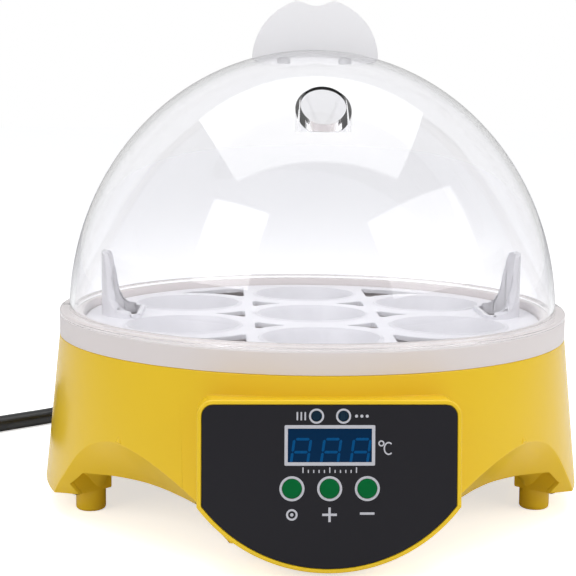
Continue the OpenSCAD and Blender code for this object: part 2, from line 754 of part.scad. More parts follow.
module egg_tray() color(white) on_axis() {
    difference() {
        union() {
            translate([0, 0, tray_z]) cylinder(r = tray_r, h = tray_t, $fn = 180);
            each_cup() translate([0, 0, cup_floor_z])
                cylinder(r1 = cup_low_r + cup_wall, r2 = cup_r + cup_wall, h = cup_depth);
            each_cup() translate([0, 0, tray_z]) cylinder(r = cup_r + 1.5, h = tray_t + 0.6);
            for (s = [0, 1]) mirror([s, 0, 0]) {
                lug();
                translate([lug_cut_x - 1.8, -lug_in_r, tray_z]) cube([1.8, 2 * lug_in_r, tray_t + 1.8]);
            }
        }
        each_cup() {
            translate([0, 0, cup_floor_z - eps])
                cylinder(r1 = cup_low_r, r2 = cup_r, h = cup_depth + 2 * eps);
            translate([0, 0, tray_top_z]) cylinder(r = cup_r, h = 5);
        }
        translate([0, 0, tray_z - 1]) linear_extrude(tray_t + 2) {
            inner_slots();
            outer_slots();
        }
        for (s = [0, 1]) mirror([s, 0, 0]) intersection() {
            translate([lug_x, 0, tray_z - 1]) cylinder(r = lug_in_r, h = 4);
            translate([lug_cut_x, -30, tray_z - 1]) cube([30, 60, 4]);
        }
    }
}

// ---- dome ----

function dome_start(wall) = asin((band_top_z - dome_z) / (dome_b - wall));
dome_steps = 15;
function dome_arc(wall) = [for (i = [0 : dome_steps])
    let (from = dome_start(wall), t = from + (90 - from) * i / dome_steps)
    [(dome_r - wall) * cos(t), dome_z + (dome_b - wall) * sin(t)]];
function reversed(p) = [for (i = [len(p) - 1 : -1 : 0]) p[i]];

module dome_solid() rotate_extrude($fn = 180)
    polygon(concat([[0, band_top_z]], dome_arc(0)));

function dome_height(r) = dome_z + dome_b * sqrt(1 - pow(r / dome_r, 2));

module dome() color([0.94, 0.95, 0.97, 0.35]) on_axis() {
    port_low_z = dome_height(port_reach + port_bore_r + port_wall) - port_skirt;
    difference() {
        union() {
            rotate_extrude($fn = 180)
                polygon(concat(dome_arc(0), reversed(dome_arc(dome_wall))));
            translate([0, 0, band_top_z]) difference() {
                cylinder(r = band_r, h = flange_t, $fn = 180);
                translate([0, 0, -1]) cylinder(r = lip_out_r + lip_gap, h = flange_t + 2, $fn = 180);
            }
            intersection() {
                dome_solid();
                translate([0, -port_reach, port_low_z]) cylinder(r = port_bore_r + port_wall, h = 60);
            }
            for (s = [-1, 1]) translate([s * (dome_r + 1.4), 0, (tab_z + band_top_z) / 2 + eps])
                cube([4.4, tab_w, band_top_z - tab_z], center = true);
        }
        translate([0, -port_reach, port_low_z - 1]) cylinder(r = port_bore_r, h = 60);
        for (s = [-1, 1]) translate([s * handle_screw_x, 0, dome_top_z - 20])
            cylinder(r = screw_hole_r, h = 30);
    }
}

handle_screw_x = 13;
handle_z = dome_height(handle_half_w);
notch_r = 10;
notch_deep = 3.2;

module top_handle() color(white) on_axis() difference() {
    intersection() {
        rotate([90, 0, 0]) linear_extrude(handle_t, center = true) difference() {
            polygon([for (t = [-30 : 6 : 210]) [handle_half_w * (t < 0 || t > 180 ? sign(cos(t)) : cos(t)),
                handle_z + handle_h * sin(t)]]);
            translate([0, handle_z + handle_h + notch_r - notch_deep]) circle(r = notch_r, $fn = 48);
        }
        translate([-50, -50, dome_z]) cube([100, 100, 200]);
    }
    dome_solid();
    for (s = [-1, 1]) translate([s * handle_screw_x, 0, dome_top_z - 20])
        cylinder(r = screw_r + 0.03, h = 28);
}

module handle_screws() color("silver") on_axis() {
    inner_share = (handle_screw_x + head_r) / (dome_r - dome_wall);
    under = dome_z + (dome_b - dome_wall) * sqrt(1 - pow(inner_share, 2));
    for (s = [-1, 1]) translate([s * handle_screw_x, 0, under - head_h - 0.1]) screw(9.5);
}

// ---- cord ----

gland_in_r = skirt_r(gland_z) - shell_wall - 4;

module strain_relief() color("#1a1a1c") on_axis() translate([0, 0, gland_z]) {
    at_az(gland_az, 0) rotate([0, 90, 0]) rotate_extrude($fn = 48) polygon([[0, gland_in_r],
        [7.6, gland_in_r], [7.6, skirt_r(gland_z) - shell_wall - 1.3],
        [gland_bore_r - 0.1, skirt_r(gland_z) - shell_wall - 1.3], [gland_bore_r - 0.1, gland_out_r + 0.5],
        [7.6, gland_out_r + 0.5], [7.6, gland_out_r + 3], [6.4, gland_out_r + 4.5],
        [cord_r + 0.7, gland_tip_r], [0, gland_tip_r]]);
}

module power_cord() color("#1c1c1e") tube(concat([cord_start], cord_route), cord_r, 10);

module cord_coil() color("#1c1c1e") translate([coil_x, coil_y, 0.1]) rotate_extrude()
    translate([coil_in_r, 0]) union() {
        translate([0, cord_r]) square([coil_out_r - coil_in_r, coil_h - cord_d]);
        translate([cord_r, 0]) square([coil_out_r - coil_in_r - cord_d, coil_h]);
        for (x = [cord_r, coil_out_r - coil_in_r - cord_r], y = [cord_r, coil_h - cord_r])
            translate([x, y]) circle(r = cord_r, $fn = 24);
    }

module plug_body() color("#1c1c1e") translate([plug_x, plug_y, plug_h / 2]) {
    rotate([-90, 0, 0]) cylinder(r1 = cord_r + 0.6, r2 = 6.5, h = plug_boot);
    translate([-plug_w / 2, plug_boot - eps, -plug_h / 2]) cube([plug_w, plug_len, plug_h]);
}

module plug_blades() color("silver") for (s = [-1, 1])
    translate([plug_x + s * blade_pitch / 2 - blade_t / 2, plug_y + plug_boot + plug_len,
        plug_h / 2 - blade_w / 2]) cube([blade_t, blade_len, blade_w]);

// ---- parts ----

base_shell();
bottom_cover();
cover_screws();
inner_tub();
tub_screws();
fan_frame();
fan_rotor();
fan_grille();
fan_screws();
heater_ring();
heater_clips();
heater_leads();
temp_sensor();
sensor_lead();
wire_grommets();
power_board();
board_screws();
transformer();
smoothing_capacitor();
heater_relay();
terminal_block();
mains_lead();
fan_leads();
control_board();
control_board_screws();
display_module();
display_window();
panel_overlay();
indicator_leds();
tact_switches();
buzzer();
button_set();
button_plus();
button_minus();
panel_back_cover();
back_cover_screws();
board_ribbon();
egg_tray();
dome();
top_handle();
handle_screws();
strain_relief();
power_cord();
cord_coil();
plug_body();
plug_blades();
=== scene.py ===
# A tabletop egg incubator with a clear dome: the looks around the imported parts.
# Sizes in the settings are millimetres, and at() turns them into metres.
import math

import bpy
from mathutils import Matrix, Vector


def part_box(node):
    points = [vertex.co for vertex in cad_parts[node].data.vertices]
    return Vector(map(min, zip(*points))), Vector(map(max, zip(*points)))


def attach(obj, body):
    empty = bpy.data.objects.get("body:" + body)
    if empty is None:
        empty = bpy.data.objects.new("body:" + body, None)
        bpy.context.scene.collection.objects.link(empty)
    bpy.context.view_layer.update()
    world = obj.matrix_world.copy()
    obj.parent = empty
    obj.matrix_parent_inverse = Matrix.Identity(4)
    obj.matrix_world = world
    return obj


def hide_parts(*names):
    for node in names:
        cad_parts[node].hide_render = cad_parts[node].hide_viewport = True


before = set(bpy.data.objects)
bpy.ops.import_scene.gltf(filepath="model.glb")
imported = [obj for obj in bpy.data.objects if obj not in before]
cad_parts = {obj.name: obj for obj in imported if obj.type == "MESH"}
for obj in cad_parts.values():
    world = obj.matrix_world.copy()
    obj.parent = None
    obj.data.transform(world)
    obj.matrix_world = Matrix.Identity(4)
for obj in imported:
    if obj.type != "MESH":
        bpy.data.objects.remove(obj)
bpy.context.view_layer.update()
scene = bpy.context.scene
mm = 0.001

domeLow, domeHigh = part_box("dome")
axisY = (domeLow.y + domeHigh.y) / 2 / mm  # the dome's axis stands at x = 0, y = axisY


def at(*place):
    return Vector(place) * mm


# hand tools that every piece is made with
def letGo():
    if bpy.context.object and bpy.context.object.mode != "OBJECT":
        bpy.ops.object.mode_set(mode="OBJECT")
    bpy.ops.object.select_all(action="DESELECT")


def onlyThis(piece):
    letGo()
    piece.select_set(True)
    bpy.context.view_layer.objects.active = piece


def editAll(piece, kind="VERT"):
    onlyThis(piece)
    bpy.ops.object.mode_set(mode="EDIT")
    bpy.ops.mesh.select_mode(type=kind)
    bpy.ops.mesh.select_all(action="SELECT")


def choose(piece, kind, wanted):
    # picks vertices, edges or faces in edit mode by a test on each
    editAll(piece, kind)
    bpy.ops.mesh.select_all(action="DESELECT")
    bpy.ops.object.mode_set(mode="OBJECT")
    mesh = piece.data
    for item in {"VERT": mesh.vertices, "EDGE": mesh.edges, "FACE": mesh.polygons}[kind]:
        item.select = bool(wanted(item))
    bpy.ops.object.mode_set(mode="EDIT")


def sharpEdges(piece, angle, wanted):
    # picks the edges that turn by more than angle and pass a test on their two ends, in millimetres
    editAll(piece, "EDGE")
    bpy.ops.mesh.select_all(action="DESELECT")
    bpy.ops.mesh.edges_select_sharp(sharpness=math.radians(angle))
    bpy.ops.object.mode_set(mode="OBJECT")
    spots = [v.co / mm for v in piece.data.vertices]
    for edge in piece.data.edges:
        edge.select = edge.select and wanted(*(spots[i] for i in edge.vertices))
    bpy.ops.object.mode_set(mode="EDIT")


def settle(piece):
    onlyThis(piece)
    bpy.ops.object.transform_apply(location=True, rotation=True, scale=True)
    return piece


def outwards(piece):
    editAll(piece)
    bpy.ops.mesh.remove_doubles(threshold=2e-6)
    bpy.ops.mesh.delete_loose()
    bpy.ops.mesh.select_all(action="SELECT")
    bpy.ops.mesh.normals_make_consistent(inside=False)
    onlyThis(piece)
    return piece


def traced(name, points, faced=True):
    # one vertex drawn out point by point, then filled
    letGo()
    bpy.ops.mesh.primitive_plane_add(size=mm, location=at(*points[0]))
    piece = bpy.context.object
    piece.name = name
    editAll(piece)
    bpy.ops.mesh.merge(type="CENTER")
    for a, b in zip(points, points[1:]):
        bpy.ops.mesh.extrude_region_move(TRANSFORM_OT_translate={"value": at(*(Vector(b) - Vector(a)))})
    if faced:
        bpy.ops.mesh.select_all(action="SELECT")
        bpy.ops.mesh.edge_face_add()
    return settle(piece)


def prism(name, outline, place, depth):
    # an outline in the plane of place, drawn out along its z
    piece = traced(name, [place @ Vector((u, v, 0)) for u, v in outline])
    editAll(piece)
    bpy.ops.mesh.extrude_region_move(
        TRANSFORM_OT_translate={"value": place.to_3x3() @ Vector((0, 0, depth * mm))})
    return outwards(piece)


def turned(name, profile, steps=96, centre=None, closed=True):
    # a profile of (radius, height) spun about an upright axis
    x, y = centre or (0, axisY)
    chain = profile + profile[:1] if closed else profile
    piece = traced(name, [(x + r, y, z) for r, z in chain], faced=False)
    editAll(piece)
    bpy.ops.mesh.spin(steps=steps, angle=2 * math.pi, center=at(x, y, 0), axis=(0, 0, 1))
    return outwards(piece)


def rounded(corners, steps=4, closed=True):
    # corners are (u, v) or (u, v, radius)
    made, count = [], len(corners)
    for i, corner in enumerate(corners):
        p = Vector(corner[:2])
        radius = corner[2] if len(corner) > 2 else 0
        if not radius or (not closed and i in (0, count - 1)):
            made.append(tuple(p))
            continue
        a = Vector(corners[i - 1][:2]) - p
        b = Vector(corners[(i + 1) % count][:2]) - p
        half = a.angle(b) / 2
        reach = min(radius / math.tan(half), a.length * 0.48, b.length * 0.48)
        middle = p + (a.normalized() + b.normalized()).normalized() * reach / math.cos(half)
        first = p + a.normalized() * reach - middle
        last = p + b.normalized() * reach - middle
        turn = math.atan2(first.cross(last), first.dot(last))
        for k in range(steps + 1):
            angle = math.atan2(first.y, first.x) + turn * k / steps
            made.append((middle.x + first.length * math.cos(angle),
                         middle.y + first.length * math.sin(angle)))
    return made


def curved(points, steps):
    # a smooth line through the points
    made = []
    for i in range(len(points) - 1):
        p = [Vector(points[max(0, min(len(points) - 1, i + k)) ]) for k in (-1, 0, 1, 2)]
        for s in range(steps):
            t = s / steps
            square, cube = 2 * p[0] - 5 * p[1] + 4 * p[2] - p[3], 3 * p[1] - p[0] - 3 * p[2] + p[3]
            made.append(tuple(0.5 * (2 * p[1] + (p[2] - p[0]) * t + square * t * t + cube * t ** 3)))
    return made + [tuple(points[-1])]


def grown(outline, gap):
    # a closed outline moved outwards by gap, whichever way it runs
    count = len(outline)
    area = sum(outline[i - 1][0] * outline[i][1] - outline[i][0] * outline[i - 1][1] for i in range(count))
    side = 1 if area > 0 else -1
    made = []
    for i in range(count):
        p, q, r = (Vector(outline[(i + k) % count]) for k in (-1, 0, 1))
        a, b = (q - p).normalized(), (r - q).normalized()
        na, nb = Vector((a.y, -a.x)) * side, Vector((b.y, -b.x)) * side
        made.append(tuple(q + gap * (na + nb) / (1 + na.dot(nb))))
    return made


def block(name, low, high, place=Matrix.Identity(4)):
    outline = [(low[0], low[1]), (high[0], low[1]), (high[0], high[1]), (low[0], high[1])]
    return prism(name, outline, place @ Matrix.Translation((0, 0, low[2])), high[2] - low[2])


def rod(name, radius, place, depth, sides=48):
    outline = [(radius * math.cos(k * 2 * math.pi / sides), radius * math.sin(k * 2 * math.pi / sides))
               for k in range(sides)]
    return prism(name, outline, place, depth)


def carve(piece, *tools, how="DIFFERENCE"):
    for tool in tools:
        modifier = piece.modifiers.new("carve", "BOOLEAN")
        modifier.operation, modifier.object, modifier.solver = how, tool, "EXACT"
        onlyThis(piece)
        bpy.ops.object.modifier_apply(modifier=modifier.name)
        bpy.data.objects.remove(tool)
    return piece


def joined(first, *others):
    onlyThis(first)
    for other in others:
        other.select_set(True)
    bpy.ops.object.join()
    return first


def twin(piece, place):
    # a copy with its own mesh, moved by a matrix in millimetres
    copy = piece.copy()
    copy.data = piece.data.copy()
    scene.collection.objects.link(copy)
    moved = place.copy()
    moved.translation = place.translation * mm
    copy.matrix_world = moved
    settle(copy)
    if place.determinant() < 0:
        outwards(copy)
    return copy


def soften(piece, width, segments=3, angle=35):
    modifier = piece.modifiers.new("soften", "BEVEL")
    modifier.width, modifier.segments = width * mm, segments
    modifier.limit_method, modifier.angle_limit = "ANGLE", math.radians(angle)
    modifier.use_clamp_overlap = False
    onlyThis(piece)
    bpy.ops.object.modifier_apply(modifier=modifier.name)
    return piece


def finishPiece(piece, material, body, slot, *stoodFor, angle=38):
    onlyThis(piece)
    bpy.ops.object.shade_smooth_by_angle(angle=math.radians(angle))
    even = piece.modifiers.new("even", "WEIGHTED_NORMAL")
    even.keep_sharp = True
    bpy.ops.object.modifier_apply(modifier=even.name)
    piece.data.materials.clear()
    piece.data.materials.append(material)
    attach(piece, body)
    if stoodFor:
        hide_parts(*stoodFor)
    print("made", piece.name, len(piece.data.polygons), "faces")
    return piece


cameraSet = {"distance": 620, "height": 170.8, "azimuth": 3.342, "turn": -0.958, "pitch": 7.552,
             "roll": 0.518, "lens": 90.27}


def makeCamera():
    c = cameraSet
    around, heading = math.radians(c["azimuth"]), math.radians(c["azimuth"] + c["turn"])
    pitch, roll = math.radians(c["pitch"]), math.radians(c["roll"])
    ahead = Vector((math.sin(heading) * math.cos(pitch), math.cos(heading) * math.cos(pitch),
                    -math.sin(pitch)))
    right = ahead.cross(Vector((0, 0, 1))).normalized()
    up = right.cross(ahead)
    rightRolled = right * math.cos(roll) + up * math.sin(roll)
    upRolled = up * math.cos(roll) - right * math.sin(roll)
    place = Matrix((rightRolled, upRolled, -ahead)).transposed().to_4x4()
    place.translation = at(-c["distance"] * math.sin(around), axisY - c["distance"] * math.cos(around),
                           c["height"])
    bpy.ops.object.camera_add()
    camera = bpy.context.object
    camera.data.sensor_width, camera.data.lens = 36, c["lens"]
    camera.data.clip_start, camera.data.clip_end = 0.01, 50
    camera.matrix_world = place
    scene.camera = camera


makeCamera()
print("camera placed")

def linear(rgb):
    return tuple((c / 255 / 12.92 if c <= 10 else ((c / 255 + 0.055) / 1.055) ** 2.4) for c in rgb) + (1,)


def groupSocket(group, name, way, kind="NodeSocketFloat", value=None):
    socket = group.interface.new_socket(name=name, in_out=way, socket_type=kind)
    if value is not None:
        socket.default_value = value


def mouldedSkin():
    # cloudy tone, fine grain and soft scuffs, shared by the moulded parts
    group = bpy.data.node_groups.new("mouldedSkin", "ShaderNodeTree")
    for name, value in (("Cloud Size", 30.0), ("Grain Size", 900.0), ("Scuffs", 0.3)):
        groupSocket(group, name, "INPUT", value=value)
    for name in ("Cloud", "Grain", "Scuff"):
        groupSocket(group, name, "OUTPUT")
    nodes, links = group.nodes, group.links
    inward, outward = nodes.new("NodeGroupInput"), nodes.new("NodeGroupOutput")
    place = nodes.new("ShaderNodeTexCoord")
    cloud, grain, scuff = (nodes.new("ShaderNodeTexNoise") for _ in range(3))
    cloud.inputs["Detail"].default_value = 2
    grain.inputs["Detail"].default_value = 2
    scuff.inputs["Detail"].default_value = 5
    scuff.inputs["Distortion"].default_value = 1.2
    stretch = nodes.new("ShaderNodeMapping")
    stretch.inputs["Scale"].default_value = (220, 60, 35)
    scuff.inputs["Scale"].default_value = 1
    narrow = nodes.new("ShaderNodeMapRange")
    narrow.inputs["From Min"].default_value = 0.56
    narrow.inputs["From Max"].default_value = 0.72
    weigh = nodes.new("ShaderNodeMath")
    weigh.operation = "MULTIPLY"
    for noise in (cloud, grain):
        links.new(place.outputs["Object"], noise.inputs["Vector"])
    links.new(place.outputs["Object"], stretch.inputs["Vector"])
    links.new(stretch.outputs["Vector"], scuff.inputs["Vector"])
    links.new(inward.outputs["Cloud Size"], cloud.inputs["Scale"])
    links.new(inward.outputs["Grain Size"], grain.inputs["Scale"])
    links.new(scuff.outputs["Fac"], narrow.inputs["Value"])
    links.new(narrow.outputs["Result"], weigh.inputs[0])
    links.new(inward.outputs["Scuffs"], weigh.inputs[1])
    links.new(cloud.outputs["Fac"], outward.inputs["Cloud"])
    links.new(grain.outputs["Fac"], outward.inputs["Grain"])
    links.new(weigh.outputs["Value"], outward.inputs["Scuff"])
    return group


skin = mouldedSkin()


def moulded(name, tone, shade, roughness=0.3, spread=0.08, bump=0.02, cloudSize=30.0, grainSize=900.0,
            scuffs=0.3, metallic=0.0, specular=0.5, coat=0.0, sheen=0.0, through=0.0, ior=1.5, subsurface=0.0,
            glow=None):
    # tone and shade are the two colours that the cloud runs between
    material = bpy.data.materials.new(name)
    material.use_nodes = True
    nodes, links = material.node_tree.nodes, material.node_tree.links
    shader = nodes["Principled BSDF"]
    surface = nodes.new("ShaderNodeGroup")
    surface.node_tree = skin
    surface.inputs["Cloud Size"].default_value = cloudSize
    surface.inputs["Grain Size"].default_value = grainSize
    surface.inputs["Scuffs"].default_value = scuffs
    colours = nodes.new("ShaderNodeMix")
    colours.data_type = "RGBA"
    colours.inputs["A"].default_value, colours.inputs["B"].default_value = linear(tone), linear(shade)
    links.new(surface.outputs["Cloud"], colours.inputs["Factor"])
    links.new(colours.outputs["Result"], shader.inputs["Base Color"])
    rough = nodes.new("ShaderNodeMapRange")
    rough.inputs["From Min"].default_value, rough.inputs["From Max"].default_value = 0.3, 0.7
    rough.inputs["To Min"].default_value = roughness - spread / 2
    rough.inputs["To Max"].default_value = roughness + spread / 2
    add = nodes.new("ShaderNodeMath")
    add.use_clamp = True
    links.new(surface.outputs["Cloud"], rough.inputs["Value"])
    links.new(rough.outputs["Result"], add.inputs[0])
    links.new(surface.outputs["Scuff"], add.inputs[1])
    links.new(add.outputs["Value"], shader.inputs["Roughness"])
    if bump:
        relief = nodes.new("ShaderNodeBump")
        relief.inputs["Strength"].default_value = bump
        relief.inputs["Distance"].default_value = 0.0004
        links.new(surface.outputs["Grain"], relief.inputs["Height"])
        links.new(relief.outputs["Normal"], shader.inputs["Normal"])
    shader.inputs["Metallic"].default_value = metallic
    shader.inputs["Specular IOR Level"].default_value = specular
    shader.inputs["Coat Weight"].default_value = coat
    shader.inputs["Sheen Weight"].default_value = sheen
    shader.inputs["IOR"].default_value = ior
    shader.inputs["Transmission Weight"].default_value = through
    if subsurface:
        shader.inputs["Subsurface Weight"].default_value = subsurface
        shader.inputs["Subsurface Radius"].default_value = (0.004, 0.003, 0.002)
        shader.inputs["Subsurface Scale"].default_value = 1
    if glow:
        shader.inputs["Emission Color"].default_value = linear(glow[0])
        shader.inputs["Emission Strength"].default_value = glow[1]
    if through:
        # lamps reach what is inside
        path, clear, mix = (nodes.new(k) for k in ("ShaderNodeLightPath", "ShaderNodeBsdfTransparent",
                                                   "ShaderNodeMixShader"))
        links.new(path.outputs["Is Shadow Ray"], mix.inputs["Fac"])
        links.new(shader.outputs["BSDF"], mix.inputs[1])
        links.new(clear.outputs["BSDF"], mix.inputs[2])
        links.new(mix.outputs["Shader"], nodes["Material Output"].inputs["Surface"])
    return material


finishes = {
    "yellow": moulded("yellowShell", (240, 202, 42), (234, 194, 34), roughness=0.22, spread=0.06,
                      bump=0.01, scuffs=0.01, cloudSize=14, specular=0.3),
    "white": moulded("whiteTub", (226, 219, 218), (221, 214, 213), roughness=0.34, bump=0.01, scuffs=0.04,
                     cloudSize=12),
    "tray": moulded("whiteTray", (229, 228, 232), (224, 223, 228), roughness=0.36, scuffs=0.05, bump=0.01),
    "handle": moulded("whiteHandle", (252, 251, 252), (249, 248, 250), roughness=0.42, bump=0.01,
                      scuffs=0.04),
    "clear": moulded("clearDome", (249, 249, 250), (246, 246, 248), roughness=0.015, spread=0.01, bump=0,
                     scuffs=0.01, through=1.0, ior=1.49),
    "steel": moulded("screwSteel", (196, 198, 202), (176, 178, 184), roughness=0.32, metallic=1.0, bump=0.05,
                     grainSize=2500),
    "black": moulded("blackPlastic", (34, 34, 38), (26, 26, 29), roughness=0.42, bump=0.05),
    "rubber": moulded("blackRubber", (28, 28, 30), (20, 20, 22), roughness=0.55, bump=0.08, grainSize=1500),
    "grey": moulded("greyPlastic", (212, 213, 216), (200, 201, 206), roughness=0.4),
    "heater": moulded("heaterSheath", (182, 166, 142), (150, 132, 112), roughness=0.38, metallic=0.85,
                      cloudSize=60, bump=0.06),
    "whiteScrew": moulded("whiteScrew", (236, 236, 238), (226, 226, 229), roughness=0.35, bump=0.03),
    "clipSteel": moulded("clipSteel", (150, 152, 156), (134, 136, 142), roughness=0.36, metallic=1.0,
                         bump=0.05),
    "redWire": moulded("redWire", (176, 44, 36), (150, 34, 28), roughness=0.4),
    "blackWire": moulded("blackWire", (32, 32, 34), (24, 24, 26), roughness=0.4),
    "greyWire": moulded("greyRibbon", (150, 152, 156), (132, 134, 140), roughness=0.45, cloudSize=300),
    "board": moulded("boardGreen", (38, 104, 58), (26, 84, 46), roughness=0.34, cloudSize=260, bump=0.06),
    "tape": moulded("transformerTape", (222, 184, 60), (204, 164, 44), roughness=0.35, cloudSize=120),
    "sleeve": moulded("capacitorSleeve", (30, 36, 48), (22, 26, 36), roughness=0.3),
    "relay": moulded("relayBlue", (44, 92, 164), (38, 82, 150), roughness=0.35),
    "terminal": moulded("terminalGreen", (60, 152, 82), (50, 136, 70), roughness=0.38),
    "display": moulded("displayBlue", (0, 42, 76), (0, 38, 70), roughness=0.16, spread=0.03, bump=0,
                       scuffs=0.03, specular=0.08),
    "segment": moulded("segmentBlue", (0, 80, 134), (0, 72, 122), roughness=0.25, bump=0, specular=0.08),
    "overlay": moulded("overlayBlack", (30, 29, 34), (27, 26, 31), roughness=0.42, spread=0.06, bump=0.02,
                       grainSize=1800, scuffs=0.06, specular=0.2),
    "print": moulded("printGrey", (196, 196, 202), (186, 186, 193), roughness=0.45, bump=0.02),
    "lens": moulded("ledLens", (6, 42, 62), (4, 34, 52), roughness=0.15, bump=0, specular=0.2),
    "button": moulded("buttonGreen", (0, 102, 50), (0, 94, 46), roughness=0.38, bump=0.03, cloudSize=200,
                      specular=0.08),
    "cord": moulded("cordBlack", (17, 18, 20), (13, 14, 16), roughness=0.27, spread=0.1, bump=0.04,
                    grainSize=1200),
    "blade": moulded("bladeMetal", (214, 208, 190), (196, 188, 168), roughness=0.25, metallic=1.0, bump=0.04,
                     grainSize=2500),
}

cordSet = {
    "diameter": 8, "stiffness": "medium",
    "tipReach": 141.45, "tipAngle": 98, "tipHeight": 24,  # where it leaves the strain relief
    "steps": [(-1.8, 12.7, 24), (-8.3, 24.7, 22), (-18.3, 34.7, 17), (-32.3, 39.7, 11), (-47.3, 38.7, 6.5),
              (-62.3, 32.7, 4.3), (-76.3, 22.7, 4.1), (-88.3, 9.7, 4.1), (-99.3, -2.3, 4.1),
              (-110.3, -14.3, 4.1), (-122.3, -24.3, 4.1), (-134.3, -34.3, 4.1), (-143.3, -41.3, 4.1),
              (-152.3, -46.3, 4.1)],
    "coilStep": (-194.3, -9.3), "turnRadii": (40, 48), "layers": (4.15, 12.1), "turns": 3.25, "perTurn": 24,
    "plugStep": (-48, 29.7), "plugHeight": 8.5,
}


def ease(t):
    t = max(0.0, min(1.0, t))
    return t * t * (3 - 2 * t)


def cordPoints():
    c = cordSet
    angle = math.radians(c["tipAngle"])
    start = Vector((c["tipReach"] * math.cos(angle), axisY + c["tipReach"] * math.sin(angle), c["tipHeight"]))
    points = [tuple(start)] + [(start.x + x, start.y + y, z) for x, y, z in c["steps"]]
    middle = (start.x + c["coilStep"][0], start.y + c["coilStep"][1])
    small, large = c["turnRadii"]
    low, high = c["layers"]
    total = int(c["turns"] * c["perTurn"])
    for k in range(total + 1):
        turn = k / c["perTurn"]  # 0 at the front, then left, back and right
        inside = ease((turn - 0.75) / 0.25) - ease((turn - 2.25) / 0.25)
        radius = large - (large - small) * inside
        height = low + (high - low) * ease((turn - 1.5) / 0.25)
        around = -math.pi / 2 - turn * 2 * math.pi
        points.append((middle[0] + radius * math.cos(around), middle[1] + radius * math.sin(around), height))
    plugX, plugY = middle[0] + c["plugStep"][0], middle[1] + c["plugStep"][1]
    points += [(plugX, middle[1] + 8, high), (plugX, middle[1] + 16, high - 0.3),
               (plugX, middle[1] + 23, high - 2), (plugX, plugY + 0.6, c["plugHeight"])]
    return points, start


def makeCord():
    points, start = cordPoints()
    bpy.ops.object.select_all(action="DESELECT")
    bpy.ops.curve.primitive_bezier_curve_add(location=(0, 0, 0))
    cord = bpy.context.object
    cord.name = "mainsCord"
    curve = cord.data
    curve.splines.clear()
    line = curve.splines.new("BEZIER")
    line.bezier_points.add(len(points) - 1)
    for knot, p in zip(line.bezier_points, points):
        knot.co = at(*p)
        knot.handle_left_type = knot.handle_right_type = "AUTO"
    curve.dimensions, curve.resolution_u = "3D", 6
    curve.bevel_depth, curve.bevel_resolution = cordSet["diameter"] / 2 * mm, 5
    curve.use_fill_caps = True
    curve.materials.append(finishes["cord"])
    length = sum((Vector(b) - Vector(a)).length for a, b in zip(points, points[1:])) * mm
    print("cord runs", round(length, 3), "m by its points")
    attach(cord, "base")
    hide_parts("power_cord", "cord_coil")
    return cord, at(*start), length


mainsCord, cordStart, cordLength = makeCord()

shellSet = {
    "bandR": 108, "topZ": 71, "footR": 114.4, "footZ": 9, "wall": 2.4, "seatR": 98.8, "seatT": 2.4,
    "podR": 92, "underZ": 20.5, "edge": 0.35, "lining": 0.6, "liningTop": 5, "liningIn": 4.5, "bossEdge": 0.8,
    "gland": (5.6, 106, 14),  # the cord's hole: radius, reach from the middle, depth
    "archAngle": 224, "archTilt": 50, "archSkin": 2.2, "archGap": 0.06,
    "archRule": [(-52, 2), (-46.3, 12.5), (-34.3, 20.3), (-23.9, 27.8), (-13.6, 32.9), (0, 35.2),
                 (11.8, 34.1), (21.3, 32), (32.7, 28.7), (42.5, 24.6), (60, 12.5),
                 (67, 2)],  # round the skirt, up from the floor
    "window": (-36.2, 40), "windowR": (78, 104),  # nothing hangs below the pod here, so one sees through
    "nib": (3, 38, 42.6, 2.5),  # a small pointed mark above each arch: place round, foot, tip, radius
}
sides = [(1, 1), (-1, 1), (1, -1), (-1, -1)]


def archPrism(gap, side):
    s = shellSet
    tilt = math.radians(s["archTilt"])
    line = curved(s["archRule"], 5)
    outline = grown([(line[0][0], -45)] + line + [(line[-1][0], -45)], gap)
    place = (Matrix.Translation((0, axisY, 0)) @ Matrix.Diagonal((side[0], side[1], 1, 1))
             @ Matrix.Rotation(math.radians(s["archAngle"] + 90), 4, "Z")
             @ Matrix.Translation((0, -s["bandR"], 0)) @ Matrix.Rotation(math.pi / 2 - tilt, 4, "X")
             @ Matrix.Translation((0, 0, -50)))
    return prism("arch", [(u, v * math.cos(tilt)) for u, v in outline], place, 95)


def archPlace(side):
    return (Matrix.Translation((0, axisY, 0)) @ Matrix.Diagonal((side[0], side[1], 1, 1))
            @ Matrix.Rotation(math.radians(shellSet["archAngle"] + 90), 4, "Z"))


def windowBlock(name, inner, outer, low, high, side, ends=None):
    first, last = ends or shellSet["window"]
    return block(name, (first, -outer, low), (last, -inner, high), archPlace(side))


panelSet = {"reach": 118.5, "height": 62.7, "tilt": 6, "halfW": 45.5, "labelH": 58.5, "corner": 4,
            "arcR": 57.3, "rim": 1.7, "recess": 0.8, "plate": 2.2, "depth": 25, "wall": 2.2}
panelPlace = (Matrix.Translation((0, axisY - panelSet["reach"], panelSet["height"]))
              @ Matrix.Rotation(math.radians(90 - panelSet["tilt"]), 4, "X"))
inPanel = panelPlace.inverted()


def labelOutline(gap):
    p = panelSet
    radius, half, corner = p["arcR"] + gap, p["halfW"] + gap, p["corner"] + gap
    low, middle, cornerX = math.acos(half / radius), p["arcR"] - p["labelH"], p["halfW"] - p["corner"]
    sweep = [-low - (math.pi - 2 * low) * k / 48 for k in range(49)]
    arc = [(radius * math.cos(t), middle + radius * math.sin(t)) for t in sweep]
    quarter = [math.pi / 2 * k / 6 for k in range(7)]
    left = [(-cornerX - corner * math.cos(t), -p["corner"] + corner * math.sin(t)) for t in quarter]
    right = [(cornerX + corner * math.sin(t), -p["corner"] + corner * math.cos(t)) for t in quarter]
    return arc + left + right


def panelBlock(name, gap, low, high):
    return prism(name, labelOutline(gap), panelPlace @ Matrix.Translation((0, 0, low)), high - low)


